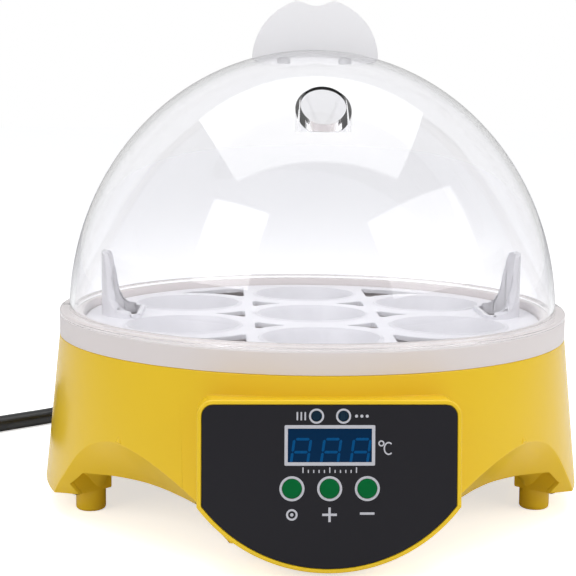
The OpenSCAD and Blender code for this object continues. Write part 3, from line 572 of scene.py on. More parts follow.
def panelRod(x, y, radius, low, high, sides=48):
    return rod("hole", radius, panelPlace @ Matrix.Translation((x, y, low)), high - low, sides)


controls = {"ledX": (-4.8, 4.8), "ledY": -4, "ledR": 1.9, "windowW": 31.8, "windowH": 14, "windowY": -14.4,
            "windowT": 2.6, "buttonX": (-13.4, 0, 13.4), "buttonY": -29.8, "buttonR": 3.5, "holeGap": 0.4}


def frontHoles(piece, low):
    c = controls
    for x in c["ledX"]:
        carve(piece, panelRod(x, c["ledY"], c["ledR"] + 0.2, low, 2))
    for x in c["buttonX"]:
        carve(piece, panelRod(x, c["buttonY"], c["buttonR"] + c["holeGap"], low, 2))
    halfW, halfH = c["windowW"] / 2 + 0.2, c["windowH"] / 2 + 0.2
    carve(piece, block("hole", (-halfW, c["windowY"] - halfH, low), (halfW, c["windowY"] + halfH, 2),
                       panelPlace))


def localEdge(piece, wanted):
    # picks edges by where both ends lie in the panel's own frame
    spots = [inPanel @ (v.co / mm) for v in piece.data.vertices]
    choose(piece, "EDGE", lambda e: all(wanted(spots[i]) for i in e.vertices))


def makeShell():
    s, p = shellSet, panelSet
    shell = turned("shell", rounded([
        (s["bandR"], s["topZ"], 0.6), (s["footR"], s["footZ"], 0.5),
        (s["footR"] - s["wall"], s["footZ"], 0.3), (s["bandR"] - s["wall"] + 0.25, s["topZ"] - s["seatT"]),
        (s["seatR"], s["topZ"] - s["seatT"]),
        (s["seatR"], s["topZ"])]), steps=180)
    for side in sides:
        inner, high = s["podR"] - s["liningIn"], s["topZ"] - s["liningTop"]
        under = turned("under", [(inner, s["underZ"]), (s["podR"], s["underZ"]), (s["podR"], s["footZ"]),
                                 (s["footR"] - s["lining"], s["footZ"]), (s["bandR"] - s["lining"], high),
                                 (inner, high)], steps=180)
        carve(under, archPrism(s["archSkin"], side), how="INTERSECT")
        carve(shell, under, how="UNION")
    for side in sides:
        carve(shell, archPrism(0, side), windowBlock("window", *s["windowR"], 0, s["underZ"] - 0.1, side))
    boss = panelBlock("boss", p["rim"], -p["depth"], 0)
    localEdge(boss, lambda v: v.z > -0.01)
    bpy.ops.mesh.bevel(offset=s["bossEdge"] * mm, segments=4, affect="EDGES")
    carve(boss, panelBlock("recess", 0.1, -p["recess"], 3))
    carve(boss, rod("room", s["seatR"], Matrix.Translation((0, axisY, 30)), 60, 180))
    carve(shell, boss, how="UNION")
    carve(shell, panelBlock("room", p["rim"] - p["wall"], -p["depth"] - 1, -p["recess"] - p["plate"]))
    frontHoles(shell, -p["recess"] - p["plate"] - 1)
    around, (bore, reach, depth) = math.radians(cordSet["tipAngle"]), s["gland"]
    outward = Matrix.Rotation(around, 4, "Z") @ Matrix.Rotation(math.pi / 2, 4, "Y")
    spot = (reach * math.cos(around), axisY + reach * math.sin(around), cordSet["tipHeight"])
    carve(shell, rod("hole", bore, Matrix.Translation(spot) @ outward, depth))
    outwards(shell)
    soften(shell, s["edge"], segments=2, angle=40)
    along, foot, tip, radius = s["nib"]
    nibs = []
    for side in sides:
        spot = archPlace(side) @ Vector((along, -110.4, 0))
        nib = turned("nib", rounded([(0, foot), (radius, foot, 0.2), (0.5, tip - 0.4, 0.5), (0, tip)]), 24,
                     (spot.x, spot.y))
        nibs.append(carve(nib, archPrism(0.3, side)))
    joined(shell, *nibs)
    return finishPiece(shell, finishes["yellow"], "base", "yellow_plastic", "base_shell", angle=30)


makeShell()

coverSet = {"pegX": 93, "pegY": 31, "pegR": 6.2, "boreR": 3.2, "boreH": 7.5, "lowest": 9, "under": 20.5,
            "wall": 2, "slots": 3, "slotPitch": 7, "slotHalf": 18, "shelf": (86.3, 110),
            "flare": [(5.7, 8.3), (6.5, 11.3), (8, 14.6), (10.4, 17.6), (13.6, 20.1), (15, 21.3)]}


def makeCover():
    c, s = coverSet, shellSet
    rim = s["footR"] - s["wall"] - 0.3
    cover = turned("baseCover", rounded([
        (0, c["under"]), (s["podR"] - c["wall"], c["under"], 1), (s["podR"] - c["wall"], c["lowest"], 0.6),
        (rim, c["lowest"], 0.5), (rim, c["lowest"] + c["wall"]), (s["podR"], c["lowest"] + c["wall"]),
        (s["podR"], c["under"] + c["wall"]), (0, c["under"] + c["wall"])]), steps=180)
    for side in sides:
        carve(cover, windowBlock("window", *s["windowR"], 0, s["underZ"] - 0.1, side))
        (near, far), low, high = c["shelf"], c["under"] + 0.05, c["under"] + c["wall"] - 0.05
        shelf = turned("shelf", [(near, low), (far, low), (far, high), (near, high)], steps=180)
        carve(shelf, windowBlock("sector", 70, 112, 0, 40, side), how="INTERSECT")
        carve(cover, shelf, how="UNION")
        for ends in ((s["window"][0] - 2.2, s["window"][0] - 0.07),
                     (s["window"][1] + 0.07, s["window"][1] + 2.2)):
            # a wall closes the hollow at each end
            inner = math.sqrt(91 ** 2 - max(abs(v) for v in ends) ** 2)
            wall = windowBlock("wall", inner, 103.2, c["lowest"] + 1.4, c["under"] + 1.1, side, ends)
            carve(cover, wall, how="UNION")
        column = curved(c["flare"], 3)
        flare = turned("flare", column + [(0, column[-1][1]), (0, column[0][1])], 64,
                       (side[0] * c["pegX"], axisY + side[1] * c["pegY"]))
        carve(cover, flare, how="UNION")
        carve(cover, archPrism(s["archSkin"] + s["archGap"], side))
    carve(cover, panelBlock("boss", panelSet["rim"] + 0.3, -panelSet["depth"] - 0.3, 1))
    for k in range(-c["slots"], c["slots"] + 1):
        half = c["slotHalf"] - abs(k) * 1.5
        ends = rounded([(-half, -1.5, 1.4), (half, -1.5, 1.4), (half, 1.5, 1.4), (-half, 1.5, 1.4)])
        carve(cover, prism("slot", ends, Matrix.Translation((0, axisY + k * c["slotPitch"], c["under"] - 1)),
                           5))
    for sx, sy in sides:
        peg = turned("peg", rounded([(0, c["boreH"]), (c["boreR"], c["boreH"]), (c["boreR"], 0, 0.5),
                                     (c["pegR"], 0, 1.5), (c["pegR"], 10), (0, 10)], steps=5), steps=48,
                     centre=(sx * c["pegX"], axisY + sy * c["pegY"]))
        carve(cover, peg, how="UNION")
    outwards(cover)
    return finishPiece(cover, finishes["yellow"], "base", "yellow_plastic", "bottom_cover", angle=35)


makeCover()

tubSet = {"bandR": 108, "bandZ": 71, "bandTop": 79.7, "lipOut": 100.6, "lipIn": 98, "lipH": 1.2,
          "ledgeZ": 75.5, "wallTop": 92.5, "wallLow": 88.5, "floorZ": 44.7, "wall": 2.2, "airR": 27,
          "collarZ": 50, "rings": (66, 45), "ringH": 7, "wellX": 36.4, "wellR": 3, "fanXY": 25,
          "post": (3.4, 5.5), "rib": (45.8, 66.8, 0.8, 5), "notch": (102, 110.8, 3.5, 73.4, 83.4)}


def makeTub():
    t = tubSet
    under = t["floorZ"] - t["wall"]
    corners = [(t["bandR"], t["bandZ"], 0.3), (t["bandR"], t["bandTop"], 0.7),
               (t["lipOut"], t["bandTop"], 0.3), (t["lipOut"], t["bandTop"] + t["lipH"], 0.5),
               (t["lipIn"], t["bandTop"] + t["lipH"], 0.8), (t["lipIn"], t["ledgeZ"], 0.4),
               (t["wallTop"], t["ledgeZ"], 1.0), (t["wallLow"], t["floorZ"], 3)]
    for ring in t["rings"]:
        corners += [(ring + 1.6, t["floorZ"], 0.6), (ring + 1.6, t["floorZ"] + t["ringH"], 0.5),
                    (ring, t["floorZ"] + t["ringH"], 0.5), (ring, t["floorZ"], 0.6)]
    corners += [(t["airR"] + t["wall"], t["floorZ"], 0.8), (t["airR"] + t["wall"], t["collarZ"], 0.5),
                (t["airR"], t["collarZ"], 0.5), (t["airR"], under, 0.4), (t["wallLow"] + t["wall"], under, 3),
                (t["wallTop"] + t["wall"], t["ledgeZ"] - t["wall"], 1),
                (t["lipOut"], t["ledgeZ"] - t["wall"]), (t["lipOut"], t["bandTop"] - t["wall"]),
                (t["bandR"] - t["wall"], t["bandTop"] - t["wall"], 0.5),
                (t["bandR"] - t["wall"], t["bandZ"], 0.3)]
    tub = turned("tub", rounded(corners), steps=180)
    sunk = t["floorZ"] - 0.5
    ribIn, ribOut, half, tall = t["rib"]
    for k in range(4):
        turn = Matrix.Translation((0, axisY, 0)) @ Matrix.Rotation(math.radians(45 + 90 * k), 4, "Z")
        carve(tub, block("rib", (ribIn, -half, sunk), (ribOut, half, t["floorZ"] + tall), turn), how="UNION")
    radius, high = t["post"][0], t["floorZ"] + t["post"][1]
    for sx, sy in sides:
        post = turned("post", rounded([(0, sunk), (radius, sunk), (radius, high, 0.6), (0, high)]), 32,
                      (sx * t["fanXY"], axisY + sy * t["fanXY"]))
        carve(tub, post, how="UNION")
    notchIn, notchOut, half, low, high = t["notch"]
    for sx in (-1, 1):
        carve(tub, rod("hole", t["wellR"], Matrix.Translation((sx * t["wellX"], axisY, under - 1)), 5))
        inner, outer = sorted((sx * notchIn, sx * notchOut))
        carve(tub, block("notch", (inner, axisY - half, low), (outer, axisY + half, high)))
    outwards(tub)
    return finishPiece(tub, finishes["white"], "base", "white_plastic", "inner_tub", angle=35)


makeTub()

traySet = {
    "radius": 97.5, "top": 77.5, "thick": 2, "pitch": 63, "depth": 14, "cupR": 22.5, "lowR": 15,
    "cupWall": 1.8,
    "slotKeep": 33.5, "slotRim": 88.5, "slotTip": 1.2, "ribIn": 25, "ribOut": 29,
    "lip": 1.8, "lugX": 74, "lugR": 14.5, "lugWall": 2.2, "lugH": 27, "lugCut": 75, "lugEdge": 0.5,
    "blade": [(-18, 1), (-16.2, 1.85), (-14.2, 2.7), (-12.3, 4.7), (-10.9, 8), (-9.9, 13), (-8.6, 20),
              (-7.6, 24.2), (-6.2, 26.3), (-3.6, 27.2)],  # half the lug's outline, up from the tray
}


def cupPlaces():
    spots = [(0, 0)] + [(traySet["pitch"] * math.cos(math.radians(30 + 60 * k)),
                         traySet["pitch"] * math.sin(math.radians(30 + 60 * k))) for k in range(6)]
    return [(x, axisY + y) for x, y in spots]


def swept(centre, first, last, clear=7):
    # points along a circle from first to last, with a long step at each end for the eased corners
    a, b = Vector(first) - Vector(centre), Vector(last) - Vector(centre)
    turn, skip = math.atan2(a.cross(b), a.dot(b)), clear / a.length
    start, side = math.atan2(a.y, a.x), math.copysign(1, turn)
    inside = abs(turn) - 2 * skip
    count = max(1, round(inside * a.length / 2))
    angles = [start + side * (skip + inside * k / count) for k in range(count + 1)]
    return [(centre[0] + a.length * math.cos(t), centre[1] + a.length * math.sin(t)) for t in angles]


def slotOutlines():
    # the openings between the cups, either side of two straight ribs, on the right and at the back
    t = traySet
    keep, half, ribIn, ribOut, rim = t["slotKeep"], t["pitch"] / 2, t["ribIn"], t["ribOut"], t["slotRim"]
    tip, side = math.sqrt(keep ** 2 - half ** 2), t["pitch"] * math.cos(math.radians(30))
    middle, back = (0, 0), (0, t["pitch"])
    low = (ribIn, math.sqrt(keep ** 2 - ribIn ** 2))
    high, point = (ribIn, t["pitch"] - low[1]), (tip, half)
    inner = [low] + swept(middle, low, point) + [point] + swept(back, point, high) + [high]
    cup, reach = (side, half), math.sqrt(keep ** 2 - (side - ribOut) ** 2)
    near, mirrored, end = (ribOut, half - reach), (ribOut, reach - half), (side - tip, 0)
    outer = [near] + swept(cup, near, end) + [end] + swept((side, -half), end, mirrored) + [mirrored]
    turn = math.acos((t["pitch"] ** 2 + rim ** 2 - keep ** 2) / (2 * t["pitch"] * rim)) + math.radians(30)
    foot, far = (ribOut, half + reach), (rim * math.cos(turn), rim * math.sin(turn))
    top = (ribOut, math.sqrt(rim ** 2 - ribOut ** 2))
    corner = [foot] + swept(cup, foot, far) + [far] + swept(middle, far, top) + [top]
    ends = {low, point, high, near, end, mirrored, foot, far, top}
    ease = lambda line: rounded([p + (t["slotTip"],) if p in ends else p for p in line], 4)
    return [(ease(inner), True), (ease(outer), False), (ease(corner), True)]


def slotCutters():
    t = traySet
    place = Matrix.Translation((0, axisY, t["top"] - t["thick"] - 1))
    made = []
    for outline, both in slotOutlines():
        for sx, sy in (sides if both else [(1, 1), (-1, 1)]):
            made.append(prism("slot", [(sx * u, sy * v) for u, v in outline], place, t["thick"] + 2))
    return joined(*made)


def dShape(gap):
    # the finger hole: round outwards, straight towards the middle, with eased corners
    t = traySet
    radius, cut, ease = t["lugR"] + gap, t["lugCut"] - t["lugX"] - gap, 2.2 + gap
    middle = math.sqrt((radius - ease) ** 2 - (cut + ease) ** 2)
    start = math.atan2(middle, cut + ease)
    angles = [-start + 2 * start * k / 60 for k in range(61)]
    arc = [(radius * math.cos(a), radius * math.sin(a)) for a in angles]
    corner = [start + (math.pi - start) * k / 8 for k in range(1, 9)]
    upper = [(cut + ease + ease * math.cos(a), middle + ease * math.sin(a)) for a in corner]
    return arc + upper + [(u, -v) for u, v in reversed(upper)]


def makeLug():
    # a low lip round the finger hole, and a blade standing on its outer side
    t = traySet
    low, lip = t["top"] - t["thick"], t["top"] + t["lip"]
    lug = prism("lug", dShape(t["lugWall"]), Matrix.Translation((t["lugX"], axisY, low + 0.2)),
                t["thick"] + t["lugH"])
    carve(lug, prism("hole", dShape(0), Matrix.Translation((t["lugX"], axisY, low - 1)), 40))
    half = curved(t["blade"], 4)
    outline = half + [(-u, v) for u, v in reversed(half)]
    upright = (Matrix.Translation((t["lugX"] + 3, axisY, t["top"])) @ Matrix.Rotation(math.pi / 2, 4, "Z")
               @ Matrix.Rotation(math.pi / 2, 4, "X"))
    spare = block("spare", (t["lugX"] - 25, axisY - 30, lip), (t["lugX"] + 25, axisY + 30, lip + 40))
    carve(spare, prism("blade", outline, upright, 40))
    carve(lug, outwards(spare))
    return outwards(lug)


def makeCup(x, y):
    t = traySet
    low, top, mouth = t["top"] - t["depth"], t["top"], t["cupR"]
    return turned("cup", rounded([
        (t["lowR"], low, 0.4), (mouth - 0.5, top - 1.0, 2.4), (mouth + 0.6, top + 0.55, 0.5),
        (mouth + 1.7, top + 0.45, 0.8),
        (mouth + 2.6, top - 0.3), (mouth + 2.2, top - 1.6), (t["lowR"] + t["cupWall"], low, 0.4)], steps=4),
                  80, (x, y))


def makeTray():
    t = traySet
    low = t["top"] - t["thick"]
    tray = rod("tray", t["radius"], Matrix.Translation((0, axisY, low)), t["thick"], 180)
    sharpEdges(tray, 60, lambda a, b: True)
    bpy.ops.mesh.bevel(offset=0.6 * mm, segments=3, affect="EDGES", clamp_overlap=True)
    hole = prism("hole", dShape(0.6), Matrix.Translation((t["lugX"], axisY, low - 1)), 4)
    holes = joined(hole, twin(hole, Matrix.Diagonal((-1, 1, 1, 1))))
    carve(tray, slotCutters())
    sharpEdges(outwards(tray), 60, lambda a, b: min(a.z, b.z) > t["top"] - 0.01)
    bpy.ops.mesh.bevel(offset=0.4 * mm, segments=3, affect="EDGES", clamp_overlap=False)
    rooms = joined(*[rod("room", t["cupR"] + 1.2, Matrix.Translation((x, y, low - 1)), 4, 80)
                     for x, y in cupPlaces()])
    carve(outwards(tray), rooms, holes)
    cups = joined(*[makeCup(x, y) for x, y in cupPlaces()])
    carve(outwards(tray), cups, how="UNION")
    lug = makeLug()
    lugs = joined(lug, twin(lug, Matrix.Diagonal((-1, 1, 1, 1))))
    carve(outwards(tray), lugs, how="UNION")
    lip = t["top"] + t["lip"]
    for wanted in (lambda a, b: min(a.z, b.z) > lip + 1.2,
                   lambda a, b: min(a.z, b.z) > lip - 0.01 and max(a.z, b.z) < lip + 0.01
                   and max(abs(a.x), abs(b.x)) < t["lugX"] + 4):
        sharpEdges(tray, 50, wanted)
        bpy.ops.mesh.bevel(offset=t["lugEdge"] * mm, segments=3, affect="EDGES", clamp_overlap=False)
    return finishPiece(outwards(tray), finishes["tray"], "tray", "white_plastic", "egg_tray", angle=40)


makeTray()

domeSet = {"radius": 104, "base": 78.5, "rise": 112, "wall": 2, "bandR": 108, "flangeLow": 79.7, "flangeT": 2,
           "lip": 101.1, "portReach": 62, "portBore": 8.9, "portWall": 1.8, "tab": (103.2, 107.6, 3, 74),
           "arcSteps": 44, "screwX": 13, "screwR": 1.6}


def domeArc(inset, first, count):
    # the dome's half outline from height first up to its top
    d = domeSet
    across, up = d["radius"] - inset, d["rise"] - inset
    start = math.asin((first - d["base"]) / up)
    return [(across * math.cos(start + (math.pi / 2 - start) * k / count) if k < count else 0,
             d["base"] + up * math.sin(start + (math.pi / 2 - start) * k / count)) for k in range(count + 1)]


def domeSolid(name, steps=180, inset=0):
    d = domeSet
    return turned(name, [(0, d["flangeLow"])] + domeArc(inset, d["flangeLow"], d["arcSteps"]), steps=steps)


def makeDome():
    d = domeSet
    top = d["flangeLow"] + d["flangeT"]
    outer, inner = domeArc(0, top + 0.8, d["arcSteps"]), domeArc(d["wall"], top + 0.3, d["arcSteps"])
    foot = rounded([(d["lip"] + 0.9, top + 0.3), (d["lip"] + 0.9, top, 0.2), (d["lip"], top - 0.1, 0.2),
                    (d["lip"], d["flangeLow"], 0.3), (d["bandR"], d["flangeLow"], 0.4),
                    (d["bandR"], top, 0.8), (outer[0][0] + 0.1, top, 0.7), outer[0]], closed=False)
    dome = turned("domeShell", inner[::-1] + foot[1:-1] + outer, steps=240)
    port = rod("port", d["portBore"] + d["portWall"], Matrix.Translation((0, axisY - d["portReach"], 157)),
               60, 72)
    carve(port, domeSolid("solid"), how="INTERSECT")
    carve(dome, port, how="UNION")
    carve(dome, rod("bore", d["portBore"], Matrix.Translation((0, axisY - d["portReach"], 150)), 70, 72))
    tabIn, tabOut, half, tabLow = d["tab"]
    for sx in (-1, 1):
        carve(dome, rod("hole", d["screwR"], Matrix.Translation((sx * d["screwX"], axisY, 170)), 30, 24))
        inside, outside = sorted((sx * tabIn, sx * tabOut))
        tab = block("tab", (inside, axisY - half, tabLow), (outside, axisY + half, d["flangeLow"] + 0.2))
        carve(dome, tab, how="UNION")
    outwards(dome)
    return finishPiece(dome, finishes["clear"], "dome", "clear_plastic", "dome", angle=32)


makeDome()

handleSet = {"halfW": 26.3, "baseZ": 186.87, "height": 24.8, "thick": 13, "notchR": 10, "notchDeep": 3.2,
             "edge": 2.4, "shoulder": (8.9, 0.75), "shoulderEase": (2.6, 1.6), "sunk": 170}


def makeHandle():
    h = handleSet
    top = h["baseZ"] + h["height"]
    rim = []
    notchMiddle = top + h["notchR"] - h["notchDeep"]
    for k in range(61):
        t = math.pi * k / 60
        u, v = h["halfW"] * math.cos(t), h["baseZ"] + h["height"] * math.sin(t)
        if math.hypot(u, v - notchMiddle) > h["notchR"] + 1.2:
            rim.append((u, v))
    notch = [(h["notchR"] * math.sin(a), notchMiddle - h["notchR"] * math.cos(a)) for a in
             (math.radians(x) for x in (28, 20, 10, 0, -10, -20, -28))]
    right = [p for p in rim if p[0] > 0]
    left = [p for p in rim if p[0] < 0]
    (across, down), (easeRight, easeLeft) = h["shoulder"], h["shoulderEase"]
    corners = [(across, top - down, easeRight)], [(-across, top - down, easeLeft)]
    feet = [(h["halfW"], h["sunk"])], [(-h["halfW"], h["sunk"])]
    outline = rounded(feet[0] + right + corners[0] + notch + corners[1] + left + feet[1])
    place = Matrix.Translation((0, axisY + h["thick"] / 2, 0)) @ Matrix.Rotation(math.pi / 2, 4, "X")
    handle = prism("handle", outline, place, h["thick"])
    spots = [v.co / mm for v in handle.data.vertices]
    choose(handle, "EDGE", lambda e: len({round(spots[i].y, 2) for i in e.vertices}) == 1
           and min(spots[i].z for i in e.vertices) > h["sunk"] + 1)  # the front and back outlines
    bpy.ops.mesh.bevel(offset=h["edge"] * mm, segments=5, affect="EDGES", clamp_overlap=True)
    outwards(handle)
    carve(handle, domeSolid("solid"))
    outwards(handle)
    return finishPiece(handle, finishes["handle"], "dome", "white_plastic", "top_handle", angle=50)


makeHandle()

def placed(piece, place):
    moved = place.copy()
    moved.translation = place.translation * mm
    piece.matrix_world = moved
    return settle(piece)


def makeOverlay():
    p = panelSet
    overlay = panelBlock("overlay", -0.1, -p["recess"], -0.05)
    frontHoles(overlay, -p["recess"] - 1)
    soften(outwards(overlay), 0.12, segments=2, angle=45)
    return finishPiece(overlay, finishes["overlay"], "base", "overlay_black", "panel_overlay")


makeOverlay()

printSet = {"low": -0.06, "high": 0.0, "ledRing": (2.0, 2.68), "buttonRing": (3.6, 4.45),
            "frame": (16.1, 7.2, 14.95, 6.0), "signY": -39.1, "plus": 2.6, "stroke": 0.85, "minus": 2.6}


def printed(name, outline, x, y, low=None, high=None):
    s = printSet
    low, high = s["low"] if low is None else low, s["high"] if high is None else high
    return prism(name, outline, panelPlace @ Matrix.Translation((x, y, low)), high - low)


def ringMark(name, inner, outer, x, y, low=None, high=None, sides=48):
    circle = lambda r: [(r * math.cos(2 * math.pi * k / sides),
                         r * math.sin(2 * math.pi * k / sides)) for k in range(sides)]
    mark = printed(name, circle(outer), x, y, low, high)
    return carve(mark, printed("inside", circle(inner), x, y, -1, 1))


def arcMark(name, radius, stroke, first, last, x, y, tall=1.0):
    # part of a ring, drawn from angle first to last in degrees
    angles = [math.radians(first + (last - first) * k / 24) for k in range(25)]
    out = [((radius + stroke / 2) * math.cos(a), (radius * tall + stroke / 2) * math.sin(a)) for a in angles]
    back = [((radius - stroke / 2) * math.cos(a),
             (radius * tall - stroke / 2) * math.sin(a)) for a in reversed(angles)]
    return printed(name, out + back, x, y)


def barMark(name, width, height, x, y, corner=0.12):
    a, b = width / 2, height / 2
    return printed(name, rounded([(-a, -b, corner), (a, -b, corner), (a, b, corner), (-a, b, corner)], 2), x,
                   y)


def makePrint():
    s, c = printSet, controls
    marks = [ringMark("mark", *s["ledRing"], x, c["ledY"]) for x in c["ledX"]]
    marks += [ringMark("mark", *s["buttonRing"], x, c["buttonY"]) for x in c["buttonX"]]
    wide, tall, innerWide, innerTall = s["frame"]
    frameMark = barMark("mark", 2 * wide, 2 * tall, 0, c["windowY"], 0.4)
    carve(frameMark, block("inside", (-innerWide, c["windowY"] - innerTall, -1),
                           (innerWide, c["windowY"] + innerTall, 1), panelPlace))
    marks.append(frameMark)
    plusX, minusX, setX = c["buttonX"][1], c["buttonX"][2], c["buttonX"][0]
    half, arm = s["stroke"] / 2, s["plus"]
    cross = [(-half, -arm), (half, -arm), (half, -half), (arm, -half), (arm, half), (half, half), (half, arm),
             (-half, arm), (-half, half), (-arm, half), (-arm, -half), (-half, -half)]
    marks.append(printed("mark", cross, plusX, s["signY"]))
    marks.append(barMark("mark", 2 * s["minus"], s["stroke"], minusX, s["signY"] + 0.4))
    marks.append(ringMark("mark", 1.35, 2.05, setX, s["signY"]))  # a plain dot in a ring for the choosing key
    marks.append(ringMark("mark", 0.01, 0.6, setX, s["signY"], sides=24))
    marks.append(ringMark("mark", 0.62, 1.1, 18.3, -13.7, sides=32))  # degree ring and C
    marks.append(arcMark("mark", 1.55, 0.5, 48, 312, 20.9, -15.5, tall=1.35))
    for k in range(3):  # warmth: three short upright strokes left of the left lamp
        marks.append(barMark("mark", 0.55, 3.0, -11.6 + 1.4 * k, c["ledY"], 0.2))
    for k in range(3):  # choosing: three dots right of the right lamp
        marks.append(ringMark("mark", 0.01, 0.55, 9.4 + 1.9 * k, c["ledY"], sides=20))
    for k in range(11):  # a plain scale under the display
        marks.append(barMark("mark", 0.4, 2.0 if k % 5 == 0 else 1.1, -9.5 + 1.9 * k,
                             -23.2 - (0 if k % 5 == 0 else 0.45), 0.1))
    marking = joined(*marks)
    marking.name = "panelPrint"
    return finishPiece(marking, finishes["print"], "base", "overlay_black")


makePrint()

digitSet = {"places": (-10.3, 0.4, 10.9), "halfH": 4.6, "halfW": 2.95, "stroke": 0.95, "lean": 0.14,
            "middle": -2.4, "lowest": -5.85}


def makeDisplay():
    c, d = controls, digitSet
    pane = block("displayPane", (-c["windowW"] / 2, c["windowY"] - c["windowH"] / 2, -c["windowT"] - 0.1),
                 (c["windowW"] / 2, c["windowY"] + c["windowH"] / 2, -0.1), panelPlace)
    soften(pane, 0.1, 2)
    finishPiece(pane, finishes["display"], "base", "display_blue", "display_window")
    bars = []
    w, h, s = d["halfW"], d["halfH"], d["stroke"] / 2
    flat = [(-w + s, 0), (-w + 2 * s, s), (w - 2 * s, s), (w - s, 0), (w - 2 * s, -s), (-w + 2 * s, -s)]
    for x in d["places"]:
        parts = [[(u, v + h) for u, v in flat], flat]
        for side in (-1, 1):
            edge = side * w
            parts.append([(edge - s, s * 1.2), (edge, s * 0.3), (edge + s, s * 1.2), (edge + s, h - s * 1.2),
                          (edge, h - s * 0.3), (edge - s, h - s * 1.2)])
            end = d["lowest"] - d["middle"]
            parts.append([(edge - s, -s * 1.2), (edge - s, end), (edge + s, end), (edge + s, -s * 1.2),
                          (edge, -s * 0.3)])
        for part in parts:
            outline = [(u + d["lean"] * v, v + d["middle"]) for u, v in part]
            bars.append(printed("bar", outline, x, c["windowY"], -0.11, -0.07))
    digits = joined(*bars)
    digits.name = "displayDigits"
    finishPiece(digits, finishes["segment"], "base", "display_blue")


makeDisplay()


def makeButtons():
    c = controls
    for name, node, body, x in zip(("keySet", "keyPlus", "keyMinus"),
                                   ("button_set", "button_plus", "button_minus"),
                                   ("set_key", "plus_key", "minus_key"), c["buttonX"]):
        key = turned(name, rounded([(0, 0.46), (c["buttonR"] - 0.8, 0.5, 1.5), (c["buttonR"], 0.25, 0.4),
                                    (c["buttonR"], -3.3), (5.2, -3.3, 0.2), (5.2, -4.3, 0.2), (1.6, -4.3),
                                    (1.6, -5.1, 0.2), (0, -5.1)]), 48, (0, 0))
        placed(key, panelPlace @ Matrix.Translation((x, c["buttonY"], 0)))
        finishPiece(key, finishes["button"], body, "button_green", node)


makeButtons()

glandSet = {"inner": 106.45, "flange": 7.6, "neck": 5.5, "wallIn": 109.15, "wallOut": 113.95, "cap": 116.45,
            "coneStart": 117.95, "coneR": 6.4, "tipR": 4.75, "tip": 141.45, "ribs": 8}


def makeGland():
    g = glandSet
    corners = [(0, g["inner"]), (g["flange"], g["inner"], 0.5), (g["flange"], g["wallIn"], 0.3),
               (g["neck"], g["wallIn"]), (g["neck"], g["wallOut"]), (g["flange"], g["wallOut"], 0.4),
               (g["flange"], g["cap"], 0.8), (g["coneR"], g["coneStart"], 0.4)]
    pitch = (g["tip"] - g["coneStart"]) / g["ribs"]
    slope = (g["tipR"] - g["coneR"]) / (g["tip"] - g["coneStart"])
    for k in range(g["ribs"]):
        start = g["coneStart"] + k * pitch
        radius = lambda place: g["coneR"] + slope * (place - g["coneStart"])
        corners += [(radius(start + 0.4 * pitch), start + 0.4 * pitch, 0.25),
                    (radius(start + 0.5 * pitch) - 0.75, start + 0.5 * pitch, 0.2),
                    (radius(start + 0.85 * pitch) - 0.75, start + 0.85 * pitch, 0.2),
                    (radius(start + pitch), start + 0.98 * pitch, 0.25)]
    corners += [(g["tipR"], g["tip"] - 0.02, 0.3), (0, g["tip"])]
    gland = turned("cordGland", rounded(corners, 2), 48, (0, 0))
    around = math.radians(cordSet["tipAngle"])
    outward = Matrix.Rotation(around, 4, "Z") @ Matrix.Rotation(math.pi / 2, 4, "Y")
    placed(gland, Matrix.Translation((0, axisY, cordSet["tipHeight"])) @ outward)
    return finishPiece(outwards(gland), finishes["rubber"], "base", "black_rubber", "strain_relief", angle=40)


makeGland()

plugSet = {"width": 22, "height": 17, "length": 28, "boot": 11, "bootR": 4.65, "bootEnd": 6.5, "edge": 3.2}


def makePlug():
    g = plugSet
    low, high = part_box("plug_body")
    x, z, first = (low.x + high.x) / 2 / mm, (low.z + high.z) / 2 / mm, low.y / mm
    corners, pitch = [(0, 0)], (g["boot"] + 1) / 5
    for k in range(5):
        start = k * pitch
        radius = lambda s: g["bootR"] + (g["bootEnd"] - g["bootR"]) * s / (g["boot"] + 1)
        corners += [(radius(start), start, 0.2), (radius(start + 0.6 * pitch), start + 0.6 * pitch, 0.2),
                    (radius(start) - 0.6, start + 0.68 * pitch, 0.15),
                    (radius(start) - 0.6, start + 0.95 * pitch, 0.15)]
    corners += [(g["bootEnd"], g["boot"] + 1), (0, g["boot"] + 1)]
    boot = turned("boot", rounded(corners, 2), 40, (0, 0))
    placed(boot, Matrix.Translation((x, first, z)) @ Matrix.Rotation(-math.pi / 2, 4, "X"))
    outwards(boot)
    a, b = g["width"] / 2, g["length"]
    outline = rounded([(-a * 0.72, 0, 3), (a * 0.72, 0, 3), (a, b * 0.35, 6), (a * 0.86, b * 0.62, 8),
                       (a, b, 2.5), (-a, b, 2.5), (-a * 0.86, b * 0.62, 8), (-a, b * 0.35, 6)], 5)
    plug = prism("plugBody", outline, Matrix.Translation((x, first + g["boot"], z - g["height"] / 2)),
                 g["height"])
    soften(plug, g["edge"], segments=5, angle=60)
    carve(outwards(plug), boot, how="UNION")
    return finishPiece(outwards(plug), finishes["rubber"], "base", "black_rubber", "plug_body", angle=45)


plugBody = makePlug()

tuple(cordStart)

